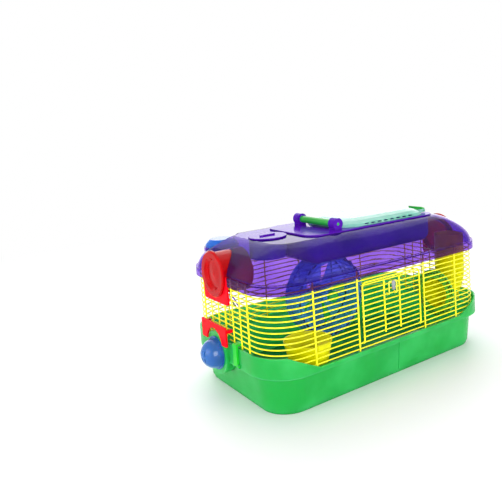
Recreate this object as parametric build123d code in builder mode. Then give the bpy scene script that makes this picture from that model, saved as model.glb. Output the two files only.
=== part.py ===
"""Hamster cage: tray, wire walls, domed cover, petting zone, ports and fittings.

Frame: +X along the length, -Y is the front with the wire door, +Z up from the table.
"""
import os
from math import cos, pi, radians, sin, sqrt

from build123d import *

# Overall sizes, in millimetres
LENGTH = 508.0
DEPTH = 292.0
HEIGHT = 279.0

# Tray
TRAY_WALL = 3.0
FLOOR = 3.0
FOOT_HEIGHT = 6.0
FOOT_INSET = 20.0
FOOT_LIP = 3.0
WALL_INSET = 11.0
STEP_Z = 63.0
COLLAR_HEIGHT = 33.0
COLLAR_RADIUS = 66.0
LOW_RIM_Z = 70.0
LOW_RIM_HALF = 166.0
RIM_RISE_RUN = 54.0
RIM_BLEND = 14.0
PANEL_LEFT = -38.0
PANEL_RIGHT = 15.0
PANEL_DEPTH = 1.6

# Wire walls
WIRE = 2.2
POST = 2.8
WIRE_INSET = 8.0
ROW_COUNT = 15
ROW_PITCH = 8.7
ROW_START_Z = 72.0
BEND_CHORDS = 3
WIRE_SIDES = 6
CORNER_POST = 18.0
RIGHT_POST = 28.5
BACK_POST_COUNT = 5
END_POST_COUNT = 7
END_POST_INSET = 5.6

# Door
DOOR_LEFT = -70.0
DOOR_RIGHT = 64.0
DOOR_GAP = 11.0
DOOR_TOP = 181.0
DOOR_CORNER = 9.0
DOOR_FIRST_ROW = 2
DOOR_LAST_ROW = 12
HINGE_ROW = 1
DOOR_BARS = (-22.0, 14.0)
EYE_LENGTH = 4.0
EYE_WALL = 1.3
LATCH_ROW = 9
LATCH_LEFT = -13.0
LATCH_RIGHT = 5.0
LATCH_TOP = 172.0
TAB_WIDTH = 7.0
TAB_HEIGHT = 16.0
TAB_THICK = 1.6

# Upper ports
UP_BORE = 36.5
UP_REACH = 4.0
PLATE = 2.7
PLATE_HORN = 5.5
UP_PLATE_DROP = 47.0
HOOK = 5.0
PLUG_WALL = 2.0
PLUG_LIP = 2.5
PLUG_RIM = 6.0
PLUG_DISH = 5.0
LEFT_SLEEVE = 56.0
PORT_SPACE = 5.6

# Lower port
LOW_PORT_Z = 72.0
LOW_BORE = 25.6
LOW_RING_WALL = 10.4
LOW_REACH = 5.0
LOW_PLATE_HALF = 44.0
LOW_PLATE_TOP = 124.0
LOW_PLATE_BOTTOM = 92.0
LOW_ARCH = 27.0
LOW_ARCH_DROP = 36.0
BLUE_DOME = 25.0
BLUE_COLLAR = 3.0
BLUE_SLEEVE = 22.0
VENT_WIDTH = 2.4
VENT_LENGTH = 7.0

# Cover
SKIRT_Z = 191.0
PART_Z = 206.0
SKIRT_INSET = 1.0
SKIRT_WALL = 2.4
LEDGE = 2.5
DOME_INSET = 5.0
COVER_WALL = 2.2
ROOF_DROP = 23.0
DOME_STEPS = ((0.0, 0.0), (0.28, 5.0), (0.56, 17.0), (0.80, 33.0), (0.94, 47.0), (1.0, 58.0))

# Petting zone
TUB_FROM_LEFT = 142.0
TUB_FROM_RIGHT = 70.0
TUB_HALF = 70.0
TUB_DROP = 1.0
TUB_WALL = 2.0
TUB_RADIUS = 22.0
TUB_ROUND = 18.0
DECK = 2.5
DECK_LIP = 6.0
GATE_FROM_LEFT = 124.0
GATE_FROM_RIGHT = 32.0
GATE_HALF = 44.0
GATE_THICK = 2.0
GATE_LAP = 9.0
GUIDE = 3.0

# Hatch lid
HINGE_REACH = 8.0
BOSS_RADIUS = 10.5
BOSS_LENGTH = 16.0
BARREL_RADIUS = 6.5
BARREL_HALF = 45.0
PIN_RADIUS = 2.5
LID_FROM_LEFT = 70.0
LID_FROM_RIGHT = 6.0
LID_HALF = 69.0
LID_RADIUS = 40.0
LID_WALL = 2.2
LID_VENTS = 8
LID_VENT_LENGTH = 10.0
LID_VENT_PITCH = 16.0
LID_VENT_HEIGHT = 2.4
LID_STEPS = ((0.0, 0.0), (5.0, 2.5), (9.0, 11.0), (11.5, 26.0))
LATCH_REACH = 3.0
LATCH_Y = -30.0
LATCH_LENGTH = 36.0
LATCH_HEIGHT = 7.0

# Roof port, bottle
ROOF_PORT_FROM_LEFT = 96.0
ROOF_BORE = 28.6
ROOF_RING_WALL = 3.4
ROOF_RING_DEPTH = 32.0
BOTTLE_FROM_LEFT = 56.0
BOTTLE_FROM_BACK = 50.0
BOTTLE_RADIUS = 29.0
BOTTLE_WALL = 1.6
BOTTLE_DROP = 7.0
SLEEVE_WALL = 2.6
SLEEVE_BOTTOM = 195.0
SLEEVE_LIP = 2.5
SLEEVE_DROP = 20.0
LOWER_RADIUS = 25.0
NECK_RADIUS = 14.0
NECK_Z = 180.0
CAP_TOP = 188.0
CAP_BOTTOM = 170.0
CAP_RADIUS = 24.0
SIPPER_RADIUS = 4.0
SIPPER_DROP = 10.0
SIPPER_REACH = 22.0
SIPPER_FALL = 42.0
SIPPER_BEND = 8.0

# Wheel
WHEEL_X = -24.0
WHEEL_Z = 121.0
WHEEL_FRONT = 2.0
WHEEL_WIDTH = 40.0
WHEEL_RADIUS = 78.0
WHEEL_TREADS = 30
TREAD = 2.6
WHEEL_WALL = 2.0
WHEEL_LIP = 13.0
SPOKES = 5
SPOKE_GAP = 9.0
SPOKE_HALF_TURN = 14.0
HUB_RADIUS = 11.0
HUB_STEP = 2.0
AXLE_RADIUS = 4.0
STAND_WIDTH = 20.0
STAND_THICK = 9.0
STAND_FOOT = 96.0
STAND_FOOT_DEPTH = 44.0
STAND_FOOT_HEIGHT = 5.0

# Dish, climbing tube, clips
DISH_FROM_LEFT = 100.0
DISH_RADIUS = 40.0
DISH_BASE = 32.0
DISH_DEPTH = 36.0
DISH_WALL = 2.0
DISH_ROW = 3
DISH_HOOK = 24.0
TUBE_FROM_RIGHT = 46.0
TUBE_FROM_FRONT = 50.0
TUBE_RADIUS = 28.5
TUBE_WALL = 1.8
TUBE_RISE = 10.0
TUBE_BEND = 40.0
TUBE_LEG = 46.0
MOUTH_Z = 104.0
FLANGE_RADIUS = 46.0
FLANGE_THICK = 3.0
FLANGE_ROWS = (2, 5)
CLIP_Y = -40.0
CLIP_WIDTH = 12.0
CLIP_THICK = 3.4
CLIP_PIVOT_Z = 67.0
CLIP_PIN = 1.6
CLIP_ROW = 3
EAR = 3.0

# Clearances
GAP = 0.3
RUN = 0.06

# Derived places
RIM_Z = STEP_Z + COLLAR_HEIGHT
HALF_X = LENGTH / 2
HALF_Y = DEPTH / 2
WIRE_X = HALF_X - WIRE_INSET
WIRE_Y = HALF_Y - WIRE_INSET
WIRE_R = COLLAR_RADIUS - WIRE_INSET
RUN_X = WIRE_X - WIRE_R
RUN_Y = WIRE_Y - WIRE_R
SHELF_Z = STEP_Z + TRAY_WALL
POST_OUT = (WIRE + POST) / 2
POST_TOP = PART_Z - LEDGE - GAP
FRONT_POSTS = (CORNER_POST - RUN_X, DOOR_LEFT - DOOR_GAP, DOOR_RIGHT + DOOR_GAP, RUN_X - RIGHT_POST)
ROW_Z = [ROW_START_Z + ROW_PITCH * i for i in range(ROW_COUNT)]
ROOF_Z = HEIGHT - ROOF_DROP
DOME_LENGTH = LENGTH - 2 * DOME_INSET
DOME_DEPTH = DEPTH - 2 * DOME_INSET
DOME_RADIUS = COLLAR_RADIUS - DOME_INSET
DECK_TOP = ROOF_Z + DECK
TUB_LEFT = TUB_FROM_LEFT - HALF_X
TUB_RIGHT = HALF_X - TUB_FROM_RIGHT
TUB_BOTTOM = PART_Z - TUB_DROP
GATE_LEFT = TUB_LEFT + GATE_FROM_LEFT
GATE_RIGHT = TUB_RIGHT - GATE_FROM_RIGHT
LID_LEFT = TUB_LEFT + LID_FROM_LEFT
LID_RIGHT = TUB_RIGHT - LID_FROM_RIGHT
LID_Z = DECK_TOP + GAP
HINGE_X = LID_LEFT - HINGE_REACH
HINGE_Z = HEIGHT - BOSS_RADIUS
LATCH_X = LID_RIGHT + LATCH_REACH
ROOF_PORT_X = ROOF_PORT_FROM_LEFT - HALF_X
BOTTLE_X = BOTTLE_FROM_LEFT - HALF_X
BOTTLE_Y = HALF_Y - BOTTLE_FROM_BACK
BOTTLE_TOP = ROOF_Z - BOTTLE_DROP
SLEEVE_OUT = BOTTLE_RADIUS + GAP + SLEEVE_WALL
PORT_Y = BOTTLE_Y - SLEEVE_OUT - PORT_SPACE - UP_BORE
LOW_RING = LOW_BORE + LOW_RING_WALL
LOW_FACE = HALF_X + LOW_REACH
UP_FACE = HALF_X + UP_REACH
UP_PLATE_HALF = UP_BORE + GAP + PLATE_HORN
PLATE_X = WIRE_X + WIRE / 2 + POST + GAP
DOOR_Y = -WIRE_Y - POST_OUT
WHEEL_BACK = WHEEL_FRONT + WHEEL_WIDTH
SPIDER_BACK = WHEEL_BACK + WHEEL_WALL
HUB_BACK = SPIDER_BACK + HUB_STEP
AXLE_END = HUB_BACK + GAP + STAND_THICK
DISH_X = DISH_FROM_LEFT - HALF_X
TUBE_X = HALF_X - TUBE_FROM_RIGHT
TUBE_Y = TUBE_FROM_FRONT - WIRE_Y
TUBE_TOP = PART_Z + TUBE_RISE
TUBE_JOIN = MOUTH_Z + TUBE_LEG
MOUTH_X = TUBE_X - TUBE_LEG

os.makedirs("parts", exist_ok=True)


def save(piece, name):
    """Label a finished piece and write its STEP file."""
    piece.part.label = name
    export_step(piece.part, f"parts/{name}.step")


def side_plane(x, y, z):
    """Plane through the axis of an end port: local x along X, local y up."""
    return Plane(origin=(x, y, z), x_dir=(1, 0, 0), z_dir=(0, -1, 0))


def wire_between(start, end, diameter):
    """One straight wire, six-sided, from start to end."""
    a = Vector(*start)
    b = Vector(*end)
    with BuildSketch(Plane(origin=a, z_dir=b - a)) as section:
        RegularPolygon(diameter / 2, WIRE_SIDES)
    extrude(section.sketch, amount=(b - a).length)


def clear_spans(low, high, gaps):
    """Stretches of low..high that are left when the gaps are taken out."""
    spans = [(low, high)]
    for left, right in gaps:
        spans = [
            piece
            for a, b in spans
            for piece in ((a, min(b, left)), (max(a, right), b))
            if piece[1] - piece[0] > 2 * WIRE
        ]
    return spans


def chord_gap(z, centre_y, centre_z, radius):
    """Gap that a round port of this radius leaves in a row at height z."""
    rise = abs(z - centre_z)
    if rise >= radius:
        return []
    half = sqrt(radius**2 - rise**2)
    return [(centre_y - half, centre_y + half)]


def tray_block(inset, z):
    """Rounded outline of the tray, inset from its collar, at height z."""
    with BuildSketch(Plane.XY.offset(z)) as outline:
        RectangleRounded(LENGTH - 2 * inset, DEPTH - 2 * inset, COLLAR_RADIUS - inset)
    return outline.sketch


# Base tray
WALL_LOW_INSET = FOOT_INSET - FOOT_LIP
with BuildPart() as base_tray:
    extrude(tray_block(FOOT_INSET, 0), amount=FOOT_HEIGHT)
    loft([tray_block(WALL_LOW_INSET, FOOT_HEIGHT), tray_block(WALL_INSET, STEP_Z)])
    extrude(tray_block(0, STEP_Z), amount=COLLAR_HEIGHT)
    cavity = [tray_block(FOOT_INSET + TRAY_WALL, FLOOR), tray_block(WALL_INSET + TRAY_WALL, SHELF_Z)]
    loft(cavity, mode=Mode.SUBTRACT)
    extrude(tray_block(TRAY_WALL, SHELF_Z), amount=COLLAR_HEIGHT, mode=Mode.SUBTRACT)
    with BuildSketch(Plane.XZ.offset(HALF_Y - COLLAR_RADIUS)):
        with BuildLine():
            Polyline(
                (-LOW_RIM_HALF - 1.5 * RIM_RISE_RUN, RIM_Z + 2),
                (-LOW_RIM_HALF - RIM_RISE_RUN, RIM_Z),
                (-LOW_RIM_HALF, LOW_RIM_Z),
                (LOW_RIM_HALF, LOW_RIM_Z),
                (LOW_RIM_HALF + RIM_RISE_RUN, RIM_Z),
                (LOW_RIM_HALF + 1.5 * RIM_RISE_RUN, RIM_Z + 2),
                close=True,
            )
        make_face()
    extrude(amount=COLLAR_RADIUS + 1, mode=Mode.SUBTRACT)
    for z, inset in ((FOOT_HEIGHT, WALL_LOW_INSET), (STEP_Z - 2, WALL_INSET)):
        with BuildSketch(Plane.XY.offset(z)):
            with Locations(((PANEL_LEFT + PANEL_RIGHT) / 2, -HALF_Y + inset)):
                Rectangle(PANEL_RIGHT - PANEL_LEFT, 2 * PANEL_DEPTH)
    loft(mode=Mode.SUBTRACT)
    with BuildSketch(Plane.YZ.offset(-LOW_FACE)):
        with Locations((PORT_Y, LOW_PORT_Z)):
            Circle(LOW_RING)
    extrude(amount=LOW_REACH + FOOT_INSET)
    with BuildSketch(Plane.YZ.offset(-LOW_FACE)):
        with Locations((PORT_Y, LOW_PORT_Z)):
            Circle(LOW_BORE)
    extrude(amount=LOW_REACH + FOOT_INSET + 2 * TRAY_WALL, mode=Mode.SUBTRACT)
    for side in (-1, 1):
        for shift in (-1, 1):
            y = -side * CLIP_Y + shift * (CLIP_WIDTH / 2 + GAP + EAR / 2)
            with Locations((side * (HALF_X + CLIP_THICK / 2), y, CLIP_PIVOT_Z)):
                Box(CLIP_THICK, EAR, 4 * CLIP_PIN)
        with Locations((side * (HALF_X + CLIP_THICK / 2 + GAP), -side * CLIP_Y, CLIP_PIVOT_Z)):
            Cylinder(
                CLIP_PIN + RUN,
                CLIP_WIDTH + 2 * GAP + 2 * EAR,
                rotation=(90, 0, 0),
                mode=Mode.SUBTRACT,
            )
save(base_tray, "base_tray")

# Snap clips
for side, name in ((-1, "left_clip"), (1, "right_clip")):
    clip_x = side * (HALF_X + GAP + CLIP_THICK / 2)
    clip_y = -side * CLIP_Y
    hook_low = ROW_Z[CLIP_ROW] + WIRE / 2 + GAP
    hook_in = side * (WIRE_X - WIRE / 2)
    with BuildPart() as clip:
        with BuildSketch(Plane.XY.offset(CLIP_PIVOT_Z)):
            with Locations((clip_x, clip_y)):
                Rectangle(CLIP_THICK, CLIP_WIDTH)
        extrude(amount=hook_low + EAR - CLIP_PIVOT_Z)
        with Locations((clip_x, clip_y, CLIP_PIVOT_Z)):
            Cylinder(CLIP_THICK / 2, CLIP_WIDTH, rotation=(90, 0, 0))
        with Locations(((clip_x + hook_in) / 2, clip_y, hook_low + EAR / 2)):
            Box(abs(clip_x - hook_in), CLIP_WIDTH, EAR)
        with Locations((clip_x, clip_y, CLIP_PIVOT_Z)):
            Cylinder(CLIP_PIN, CLIP_WIDTH + 2 * GAP + 2 * EAR, rotation=(90, 0, 0))
    save(clip, name)

# Wire walls
DOORWAY = [(FRONT_POSTS[1], FRONT_POSTS[2])]
with BuildPart() as front_wires:
    for i, z in enumerate(ROW_Z):
        gaps = DOORWAY if DOOR_FIRST_ROW <= i <= DOOR_LAST_ROW else []
        for a, b in clear_spans(-RUN_X, RUN_X, gaps):
            wire_between((a, -WIRE_Y, z), (b, -WIRE_Y, z), WIRE)
    for x in FRONT_POSTS:
        wire_between((x, DOOR_Y, SHELF_Z), (x, DOOR_Y, POST_TOP), POST)
save(front_wires, "front_wires")

with BuildPart() as back_wires:
    for z in ROW_Z:
        wire_between((-RUN_X, WIRE_Y, z), (RUN_X, WIRE_Y, z), WIRE)
    for i in range(BACK_POST_COUNT):
        x = (RUN_X - CORNER_POST) * (2 * i / (BACK_POST_COUNT - 1) - 1)
        wire_between((x, -DOOR_Y, SHELF_Z), (x, -DOOR_Y, POST_TOP), POST)
save(back_wires, "back_wires")

LOW_CUT = LOW_RING + WIRE
UP_CUT = UP_BORE + WIRE
END_POST_HALF = RUN_Y - END_POST_INSET
END_POSTS = [END_POST_HALF * (2 * i / (END_POST_COUNT - 1) - 1) for i in range(END_POST_COUNT)]
THICK_POSTS = (END_POSTS[0], END_POSTS[END_POST_COUNT // 2], END_POSTS[-1])
for side, name in ((-1, "left_wires"), (1, "right_wires")):
    port_y = -side * PORT_Y
    x = side * WIRE_X
    with BuildPart() as end_wires:
        for z in ROW_Z:
            gaps = chord_gap(z, port_y, PART_Z, UP_CUT)
            if side < 0:
                gaps = gaps + chord_gap(z, port_y, LOW_PORT_Z, LOW_CUT)
            for a, b in clear_spans(-RUN_Y, RUN_Y, gaps):
                wire_between((x, a, z), (x, b, z), WIRE)
        for y in END_POSTS:
            gaps = chord_gap(y, PART_Z, port_y, UP_CUT)
            if side < 0:
                gaps = gaps + chord_gap(y, LOW_PORT_Z, port_y, LOW_CUT)
            size = POST if y in THICK_POSTS else WIRE
            post_x = x + side * (WIRE + size) / 2
            for a, b in clear_spans(SHELF_Z, POST_TOP, gaps):
                wire_between((post_x, y, a), (post_x, y, b), size)
    save(end_wires, name)

with BuildPart() as bend:
    step = radians(90 / BEND_CHORDS)
    turns = [step * (i + 0.5) for i in range(BEND_CHORDS)]
    reach = WIRE_R / cos(step / 2)
    knees = [(reach * cos(t), reach * sin(t)) for t in turns]
    with BuildLine() as bend_path:
        Polyline((WIRE_R, 0), *knees, (0, WIRE_R))
    with BuildSketch(Plane(origin=(WIRE_R, 0, 0), z_dir=(0, 1, 0))):
        RegularPolygon(WIRE / 2, WIRE_SIDES)
    sweep(transition=Transition.RIGHT)

CORNERS = ((RUN_X, RUN_Y, 0), (-RUN_X, RUN_Y, 90), (-RUN_X, -RUN_Y, 180), (RUN_X, -RUN_Y, 270))
with BuildPart() as corner_wires:
    with Locations(*[Location((x, y, z), (0, 0, turn)) for x, y, turn in CORNERS for z in ROW_Z]):
        add(bend.part)
save(corner_wires, "corner_wires")

# Front door
HINGE_Z_DOOR = ROW_Z[HINGE_ROW]
EYE_BORE = WIRE / 2 + RUN
EYE_RADIUS = EYE_BORE + EYE_WALL


def eye(x, y, z):
    """Short sleeve along X that turns on a wire."""
    with BuildSketch(Plane.YZ.offset(x - EYE_LENGTH / 2)) as section:
        with Locations((y, z)):
            Circle(EYE_RADIUS)
            Circle(EYE_BORE, mode=Mode.SUBTRACT)
    extrude(section.sketch, amount=EYE_LENGTH)


with BuildPart() as door_frame:
    foot_z = HINGE_Z_DOOR + EYE_BORE
    with BuildLine() as hoop:
        Polyline(
            (DOOR_LEFT, DOOR_Y, foot_z),
            (DOOR_LEFT, DOOR_Y, DOOR_TOP - DOOR_CORNER),
            (DOOR_LEFT + 0.3 * DOOR_CORNER, DOOR_Y, DOOR_TOP - 0.3 * DOOR_CORNER),
            (DOOR_LEFT + DOOR_CORNER, DOOR_Y, DOOR_TOP),
            (DOOR_RIGHT - DOOR_CORNER, DOOR_Y, DOOR_TOP),
            (DOOR_RIGHT - 0.3 * DOOR_CORNER, DOOR_Y, DOOR_TOP - 0.3 * DOOR_CORNER),
            (DOOR_RIGHT, DOOR_Y, DOOR_TOP - DOOR_CORNER),
            (DOOR_RIGHT, DOOR_Y, foot_z),
        )
    with BuildSketch(Plane(origin=(DOOR_LEFT, DOOR_Y, foot_z), z_dir=(0, 0, 1))):
        RegularPolygon(POST / 2, WIRE_SIDES)
    sweep(transition=Transition.RIGHT)
    for x in (DOOR_LEFT, DOOR_RIGHT):
        eye(x, -WIRE_Y, HINGE_Z_DOOR)
save(door_frame, "door_frame")

with BuildPart() as door_bars:
    for z in ROW_Z[DOOR_FIRST_ROW : DOOR_LAST_ROW + 1]:
        wire_between((DOOR_LEFT, -WIRE_Y, z), (DOOR_RIGHT, -WIRE_Y, z), WIRE)
    for x in DOOR_BARS:
        low = ROW_Z[DOOR_FIRST_ROW] - WIRE
        high = ROW_Z[DOOR_LAST_ROW] + WIRE
        wire_between((x, DOOR_Y, low), (x, DOOR_Y, high), POST)
save(door_bars, "door_bars")

LATCH_Y_OUT = DOOR_Y - POST / 2 - GAP - WIRE / 2
with BuildPart() as door_latch:
    latch_z = ROW_Z[LATCH_ROW]
    with BuildLine() as loop:
        Polyline(
            (LATCH_LEFT, -WIRE_Y - EYE_BORE, latch_z),
            (LATCH_LEFT, LATCH_Y_OUT, latch_z),
            (LATCH_LEFT, LATCH_Y_OUT, LATCH_TOP),
            (LATCH_RIGHT, LATCH_Y_OUT, LATCH_TOP),
            (LATCH_RIGHT, LATCH_Y_OUT, latch_z),
            (LATCH_RIGHT, -WIRE_Y - EYE_BORE, latch_z),
        )
    with BuildSketch(Plane(origin=(LATCH_LEFT, -WIRE_Y - EYE_BORE, latch_z), z_dir=(0, -1, 0))):
        RegularPolygon(WIRE / 2, WIRE_SIDES)
    sweep(transition=Transition.RIGHT)
    for x in (LATCH_LEFT, LATCH_RIGHT):
        eye(x, -WIRE_Y, latch_z)
save(door_latch, "door_latch")

with BuildPart() as latch_tab:
    tab_x = (LATCH_LEFT + LATCH_RIGHT) / 2
    with BuildSketch(Plane.XZ.offset(-LATCH_Y_OUT + WIRE / 2)):
        with Locations((tab_x, LATCH_TOP - TAB_HEIGHT / 2 + WIRE / 2)):
            RectangleRounded(TAB_WIDTH, TAB_HEIGHT, TAB_WIDTH / 3)
    extrude(amount=TAB_THICK)
save(latch_tab, "latch_tab")

# Port plates
for side, name in ((-1, "left_upper_plate"), (1, "right_upper_plate")):
    port_y = -side * PORT_Y
    with BuildPart() as plate:
        with BuildSketch(Plane.YZ.offset(side * PLATE_X)):
            with Locations((port_y, PART_Z - GAP - UP_PLATE_DROP / 2)):
                RectangleRounded(2 * UP_PLATE_HALF, UP_PLATE_DROP, HOOK)
            with Locations((port_y, PART_Z)):
                Circle(UP_BORE + GAP, mode=Mode.SUBTRACT)
        extrude(amount=side * PLATE)
        for shift in (-1, 1):
            hook_y = port_y + shift * (UP_PLATE_HALF - HOOK)
            with Locations((side * (PLATE_X - POST / 2), hook_y, ROW_Z[DOOR_LAST_ROW - 1])):
                Box(POST, HOOK, HOOK)
    save(plate, name)

LOW_PLATE_X = LOW_FACE + GAP
with BuildPart() as left_lower_plate:
    with BuildSketch(Plane.YZ.offset(-LOW_PLATE_X)):
        with Locations((PORT_Y, (LOW_PLATE_TOP + LOW_PLATE_BOTTOM) / 2)):
            RectangleRounded(2 * LOW_PLATE_HALF, LOW_PLATE_TOP - LOW_PLATE_BOTTOM, HOOK / 2)
        with Locations((PORT_Y, LOW_PLATE_TOP - LOW_ARCH_DROP)):
            Circle(LOW_ARCH, mode=Mode.SUBTRACT)
    extrude(amount=-PLATE)
    hook_in = WIRE_X + WIRE / 2 + GAP
    for shift in (-1, 1):
        hook_y = PORT_Y + shift * (LOW_PLATE_HALF - HOOK)
        with Locations((-(LOW_PLATE_X + hook_in) / 2, hook_y, LOW_PLATE_TOP - 1.5 * HOOK)):
            Box(LOW_PLATE_X - hook_in, HOOK, HOOK)
save(left_lower_plate, "left_lower_plate")

# Upper bubble plugs
PLUG_SLEEVE = UP_BORE - 2 * GAP
LIP_IN = PLATE_X + PLATE + GAP
DISH_FACE = UP_FACE - PLUG_DISH
LEFT_SLEEVE_END = HALF_X - LEFT_SLEEVE
RIGHT_SLEEVE_END = TUBE_X + TUBE_RADIUS + PLUG_WALL
for turn, name, sleeve_end in (
    (180, "left_upper_plug", LEFT_SLEEVE_END),
    (0, "right_upper_plug", RIGHT_SLEEVE_END),
):
    lip = UP_BORE + PLUG_LIP
    inner = PLUG_SLEEVE - PLUG_WALL
    with BuildPart() as plug_form:
        with BuildSketch(side_plane(0, -PORT_Y, PART_Z)):
            with BuildLine():
                Polyline(
                    (DISH_FACE + PLUG_WALL, 0),
                    (DISH_FACE, inner - PLUG_RIM - PLUG_DISH),
                    (UP_FACE, inner - PLUG_RIM),
                    (UP_FACE, lip - PLUG_WALL),
                    (UP_FACE - PLUG_WALL, lip),
                    (LIP_IN, lip),
                    (LIP_IN, PLUG_SLEEVE),
                    (sleeve_end, PLUG_SLEEVE),
                    (sleeve_end, inner),
                    (DISH_FACE - PLUG_WALL, inner),
                    (DISH_FACE - PLUG_WALL, 0),
                    close=True,
                )
            make_face()
        revolve(axis=Axis((0, -PORT_Y, PART_Z), (1, 0, 0)))
    with BuildPart() as plug:
        with Locations(Location((0, 0, 0), (0, 0, turn))):
            add(plug_form.part)
    save(plug, name)

# Lower vented bubble plug
with BuildPart() as left_lower_plug:
    collar_in = -(LOW_FACE + GAP)
    collar_out = collar_in - PLUG_WALL
    sleeve = LOW_BORE - GAP
    inner = BLUE_DOME - PLUG_WALL
    with BuildSketch(side_plane(0, PORT_Y, LOW_PORT_Z)):
        with BuildLine():
            CenterArc((collar_out, 0), BLUE_DOME, 90, 90)
            Polyline(
                (collar_out, BLUE_DOME),
                (collar_out, BLUE_DOME + BLUE_COLLAR),
                (collar_in, BLUE_DOME + BLUE_COLLAR),
                (collar_in, sleeve),
                (collar_in + BLUE_SLEEVE, sleeve),
                (collar_in + BLUE_SLEEVE, sleeve - PLUG_WALL),
                (collar_out, sleeve - PLUG_WALL),
                (collar_out - inner / 2, inner * sqrt(0.75)),
                (collar_out - inner * sqrt(0.75), inner / 2),
                (collar_out - inner, 0),
                (collar_out - BLUE_DOME, 0),
            )
        make_face()
    revolve(axis=Axis((0, PORT_Y, LOW_PORT_Z), (1, 0, 0)))
    with BuildSketch(Plane.YZ.offset(collar_out - BLUE_DOME)):
        with Locations((PORT_Y, LOW_PORT_Z)):
            with GridLocations(3 * VENT_WIDTH, 1.6 * VENT_LENGTH, 3, 2):
                Rectangle(VENT_WIDTH, VENT_LENGTH)
    extrude(amount=BLUE_DOME, mode=Mode.SUBTRACT)
save(left_lower_plug, "left_lower_plug")


def dome(shrink, lower):
    """Domed block of the cover, drawn in by shrink and lowered by lower."""
    sections = []
    for share, inset in DOME_STEPS:
        z = PART_Z + share * (ROOF_Z - PART_Z) - lower
        with BuildSketch(Plane.XY.offset(z)) as outline:
            RectangleRounded(
                DOME_LENGTH - 2 * (inset + shrink),
                DOME_DEPTH - 2 * (inset + shrink),
                DOME_RADIUS - 0.55 * inset - shrink,
            )
        sections.append(outline.sketch)
    return sections


# Top cover
tub_mid = (TUB_LEFT + TUB_RIGHT) / 2
with BuildPart() as top_cover:
    loft(dome(0, 0))
    loft(dome(COVER_WALL, COVER_WALL), mode=Mode.SUBTRACT)
    with BuildSketch(Plane.XY.offset(PART_Z - LEDGE)):
        RectangleRounded(LENGTH - 2 * SKIRT_INSET, DEPTH - 2 * SKIRT_INSET, COLLAR_RADIUS - SKIRT_INSET)
        inset = WIRE_INSET + WIRE
        RectangleRounded(
            LENGTH - 2 * inset, DEPTH - 2 * inset, COLLAR_RADIUS - inset, mode=Mode.SUBTRACT
        )
    extrude(amount=LEDGE)
    with BuildSketch(Plane.XY.offset(SKIRT_Z)):
        RectangleRounded(LENGTH - 2 * SKIRT_INSET, DEPTH - 2 * SKIRT_INSET, COLLAR_RADIUS - SKIRT_INSET)
        inset = SKIRT_INSET + SKIRT_WALL
        RectangleRounded(
            LENGTH - 2 * inset, DEPTH - 2 * inset, COLLAR_RADIUS - inset, mode=Mode.SUBTRACT
        )
    extrude(amount=PART_Z - SKIRT_Z)
    with BuildSketch(Plane.XY.offset(SKIRT_Z)):
        with Locations((BOTTLE_X, BOTTLE_Y)):
            Circle(SLEEVE_OUT + RUN)
        with Locations((ROOF_PORT_X, 0)):
            Circle(ROOF_BORE)
        with Locations((tub_mid, 0)):
            RectangleRounded(
                TUB_RIGHT - TUB_LEFT + 2 * GAP, 2 * (TUB_HALF + GAP), TUB_RADIUS + GAP
            )
    extrude(amount=HEIGHT - SKIRT_Z, mode=Mode.SUBTRACT)
    for side in (-1, 1):
        with BuildSketch(Plane.YZ.offset(side * UP_FACE)):
            with Locations((-side * PORT_Y, PART_Z)):
                Circle(UP_BORE)
        extrude(amount=-side * (UP_REACH + LEFT_SLEEVE + PLUG_WALL), mode=Mode.SUBTRACT)
        with Locations((side * HALF_X, -side * PORT_Y, (PART_Z + SKIRT_Z) / 2)):
            Box(
                2 * (WIRE_INSET + 2 * POST),
                2 * (UP_PLATE_HALF + 1),
                PART_Z - SKIRT_Z + 0.001,
                mode=Mode.SUBTRACT,
            )
save(top_cover, "top_cover")

with BuildPart() as roof_ring:
    ring_top = ROOF_Z - COVER_WALL - GAP
    with BuildSketch(Plane.XY.offset(ring_top - ROOF_RING_DEPTH)):
        with Locations((ROOF_PORT_X, 0)):
            Circle(ROOF_BORE + ROOF_RING_WALL)
            Circle(ROOF_BORE, mode=Mode.SUBTRACT)
    extrude(amount=ROOF_RING_DEPTH)
save(roof_ring, "roof_ring")

with BuildPart() as bottle_sleeve:
    with BuildSketch(Plane.XY.offset(SLEEVE_BOTTOM)):
        with Locations((BOTTLE_X, BOTTLE_Y)):
            Circle(SLEEVE_OUT)
            Circle(LOWER_RADIUS + GAP, mode=Mode.SUBTRACT)
    extrude(amount=SLEEVE_LIP)
    with BuildSketch(Plane.XY.offset(SLEEVE_BOTTOM + SLEEVE_LIP)):
        with Locations((BOTTLE_X, BOTTLE_Y)):
            Circle(SLEEVE_OUT)
            Circle(BOTTLE_RADIUS + GAP, mode=Mode.SUBTRACT)
    extrude(amount=ROOF_Z - SLEEVE_DROP - SLEEVE_BOTTOM - SLEEVE_LIP)
save(bottle_sleeve, "bottle_sleeve")

# Roof port cap
with BuildPart() as roof_cap:
    with BuildSketch(Plane.XY.offset(ROOF_Z + GAP)):
        with Locations((ROOF_PORT_X, 0)):
            Circle(ROOF_BORE + 2 * COVER_WALL)
    extrude(amount=COVER_WALL)
    with BuildSketch(Plane.XY.offset(ROOF_Z - 2 * COVER_WALL)):
        with Locations((ROOF_PORT_X, 0)):
            Circle(ROOF_BORE - GAP)
            Circle(ROOF_BORE - GAP - COVER_WALL, mode=Mode.SUBTRACT)
    extrude(amount=2 * COVER_WALL + GAP)
    with Locations((ROOF_PORT_X, 0, ROOF_Z + GAP + 1.5 * COVER_WALL)):
        Box(ROOF_BORE, 2 * COVER_WALL, COVER_WALL)
save(roof_cap, "roof_cap")


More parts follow.
